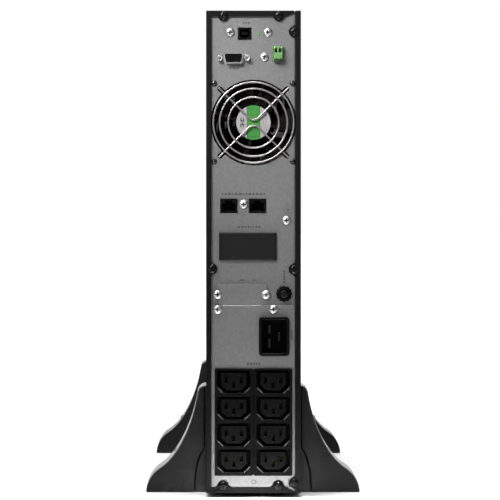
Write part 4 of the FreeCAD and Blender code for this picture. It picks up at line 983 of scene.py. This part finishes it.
ink_ring(bm, LAMP_X, up(LAMP_AT), 2.9, 0.4, panel_face)
finished("signal_lamp", bm, "case", "green_plastic", material="lamp_green")
print("lamp", 2 * LAMP_RADIUS, "mm across")

# %% [markdown]
# ## What the display shows
# Under the smoked window of the front lies a liquid crystal display. Switched on, it shows bars
# for load and charge and a row of digits. Plain bars are enough for both: they are raised a hair
# above the glass like the printing, glow a little, and turn with the display when it's set for
# rack use.

# %% Lay the display's bars
glow = plain("display_glow", (0.45, 0.75, 0.95), 0.3, grain=0.5, depth=0.002, wander=0.05)
glow.set(Emission_Color=(0.35, 0.65, 1.0), Emission_Strength=0.9)
low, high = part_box("display_window")
centre, half = (low + high) / 2 / MM, (high - low) / 2 / MM
CORNERS = ((-1, -1), (1, -1), (1, 1), (-1, 1))
METERS = ((-0.62, 4), (0.62, 5))
DIGITS = (-0.16, 0.0, 0.16)
FLAT, UPRIGHT = (2.0, 0.6), (0.6, 2.4)
SEGMENTS = ((0, 3.2, *FLAT), (0, 0, *FLAT), (0, -3.2, *FLAT), (-1.3, 1.6, *UPRIGHT), (1.3, -1.6, *UPRIGHT))


def lit_bar(bm, x, z, wide, tall, proud=0.03):
    rings = [[Vector((x + a * wide / 2, high.y / MM + rise, z + b * tall / 2)) * MM for a, b in CORNERS]
             for rise in (-SUNK, proud)]
    joined(rings, bm)


bm = bmesh.new()
for column, count in METERS:
    for row in range(count):
        lit_bar(bm, centre.x + column * half.x, centre.z - half.z * 0.5 + row * 3.0, half.x * 0.28, 1.6)
for column in DIGITS:
    for dx, dz, wide, tall in SEGMENTS:
        lit_bar(bm, centre.x + column * half.x * 1.4 + dx, centre.z + dz, wide, tall)
finished("display_bars", bm, "display", "display_glass", material="display_glow")
print("window", round(2 * half.x, 1), "by", round(2 * half.z, 1), "mm")

# %% [markdown]
# ## The table
# The object stands on a matt white table so large that its far edge is never seen. The table
# throws light back up, so the foot of the grey panel is the panel's brightest part.

# %% Lay the floor
REACH = 30
floor_mesh = bpy.data.meshes.new("floor")
corners = [(REACH * a, REACH * b, 0) for a, b in CORNERS]
floor_mesh.from_pydata(corners, [], [(0, 1, 2, 3)])
floor = bpy.data.objects.new("floor", floor_mesh)
scene.collection.objects.link(floor)
floor_paint = plain("floor_white", grey(0.86), 0.6, grain=4, depth=0.0, wander=0.01)
floor.data.materials.append(floor_paint.material)
print("floor", 2 * REACH, "m wide")

# %% [markdown]
# ## The studio's walls
# The studio is a room whose far wall is white and whose near side is dim. That is what makes black
# plastic look black with only a few clean highlights: it reflects the dim side. A world does this
# without any walls: its strength rises softly from the near side to the far side, and the camera
# itself always sees it white.

# %% Make the world white behind the object and dim before it
NEAR_SIDE, FAR_SIDE, DIM = -0.45, 0.55, 0.05
world = bpy.data.worlds.new("studio")
world.use_nodes = True
scene.world = world
tree = world.node_tree
background = tree.nodes["Background"]
looking = tree.nodes.new("ShaderNodeTexCoord")
split = tree.nodes.new("ShaderNodeSeparateXYZ")
tree.links.new(looking.outputs["Generated"], split.inputs[0])
turn = tree.nodes.new("ShaderNodeMapRange")
turn.interpolation_type = "SMOOTHSTEP"
for socket, value in zip(turn.inputs[1:5], (NEAR_SIDE, FAR_SIDE, DIM, 1.0)):
    socket.default_value = value
tree.links.new(split.outputs["Y"], turn.inputs[0])
seen = tree.nodes.new("ShaderNodeLightPath")
wall = tree.nodes.new("ShaderNodeMath")
wall.operation = "MAXIMUM"
tree.links.new(seen.outputs["Is Camera Ray"], wall.inputs[0])
tree.links.new(turn.outputs[0], wall.inputs[1])
tree.links.new(wall.outputs[0], background.inputs["Strength"])
background.inputs["Color"].default_value = (1, 1, 1, 1)
print("the near side has", DIM, "of the far side's light")

# %% [markdown]
# ## Lights
# Large soft boxes over the table and behind the object light the floor and the feet evenly. Two
# small ones above the camera give each screw its pair of glints. A soft sun fills in from above,
# two narrow spots make a bright pool on the table that lights the panel's foot, and two more at
# the upper left are the key light on the panel's top.

# %% Hang the lights
def hung(light, place, target):
    """Hangs a light at a place, turned towards a target."""
    lamp = bpy.data.objects.new(light.name, light)
    lamp.location = place
    lamp.rotation_euler = (Vector(target) - Vector(place)).to_track_quat("-Z", "Y").to_euler()
    scene.collection.objects.link(lamp)


def soft_box(name, place, target, width, height, watts):
    light = bpy.data.lights.new(name, "AREA")
    light.shape = "RECTANGLE"
    light.size = width
    light.size_y = height
    light.energy = watts
    hung(light, place, target)


def spot(name, place, target, beam, watts, softness):
    light = bpy.data.lights.new(name, "SPOT")
    light.energy = watts
    light.spot_size = math.radians(beam)
    light.spot_blend = 1.0
    light.shadow_soft_size = softness
    hung(light, place, target)


soft_box("over_the_table", (0, -0.9, 2.2), (0, -0.5, 0), 2.4, 1.6, 18)
soft_box("upper_left", (-1.3, -2.2, 1.7), (0, -0.3, 0.3), 0.35, 0.35, 4)
soft_box("upper_right", (1.5, -2.0, 1.6), (0, -0.3, 0.3), 0.35, 0.35, 4)
soft_box("behind", (0.4, 2.2, 2.0), (0, 0.2, 0.2), 1.6, 1.2, 16)
above = bpy.data.lights.new("above", "SUN")
above.energy = 2.6
above.angle = math.radians(30)
hung(above, (0, 0, 0), (0.10, 0.10, -1))
spot("pool_before_the_foot", (0, -0.42, 1.6), (0, -0.42, 0), 9.5, 730, 0.03)
spot("pool_at_the_foot", (0, -0.40, 1.6), (0, -0.365, 0), 6, 2000, 0.03)
spot("key_on_the_top", (-0.55, -0.95, 0.85), (0, -0.29, 0.40), 32, 92, 0.12)
spot("key_along_the_top", (-0.30, -0.95, 0.95), (0, -0.29, 0.39), 20, 140, 0.12)
scene.view_settings.view_transform = "Standard"
print(len(bpy.data.lights), "lights, the sun and four spots among them")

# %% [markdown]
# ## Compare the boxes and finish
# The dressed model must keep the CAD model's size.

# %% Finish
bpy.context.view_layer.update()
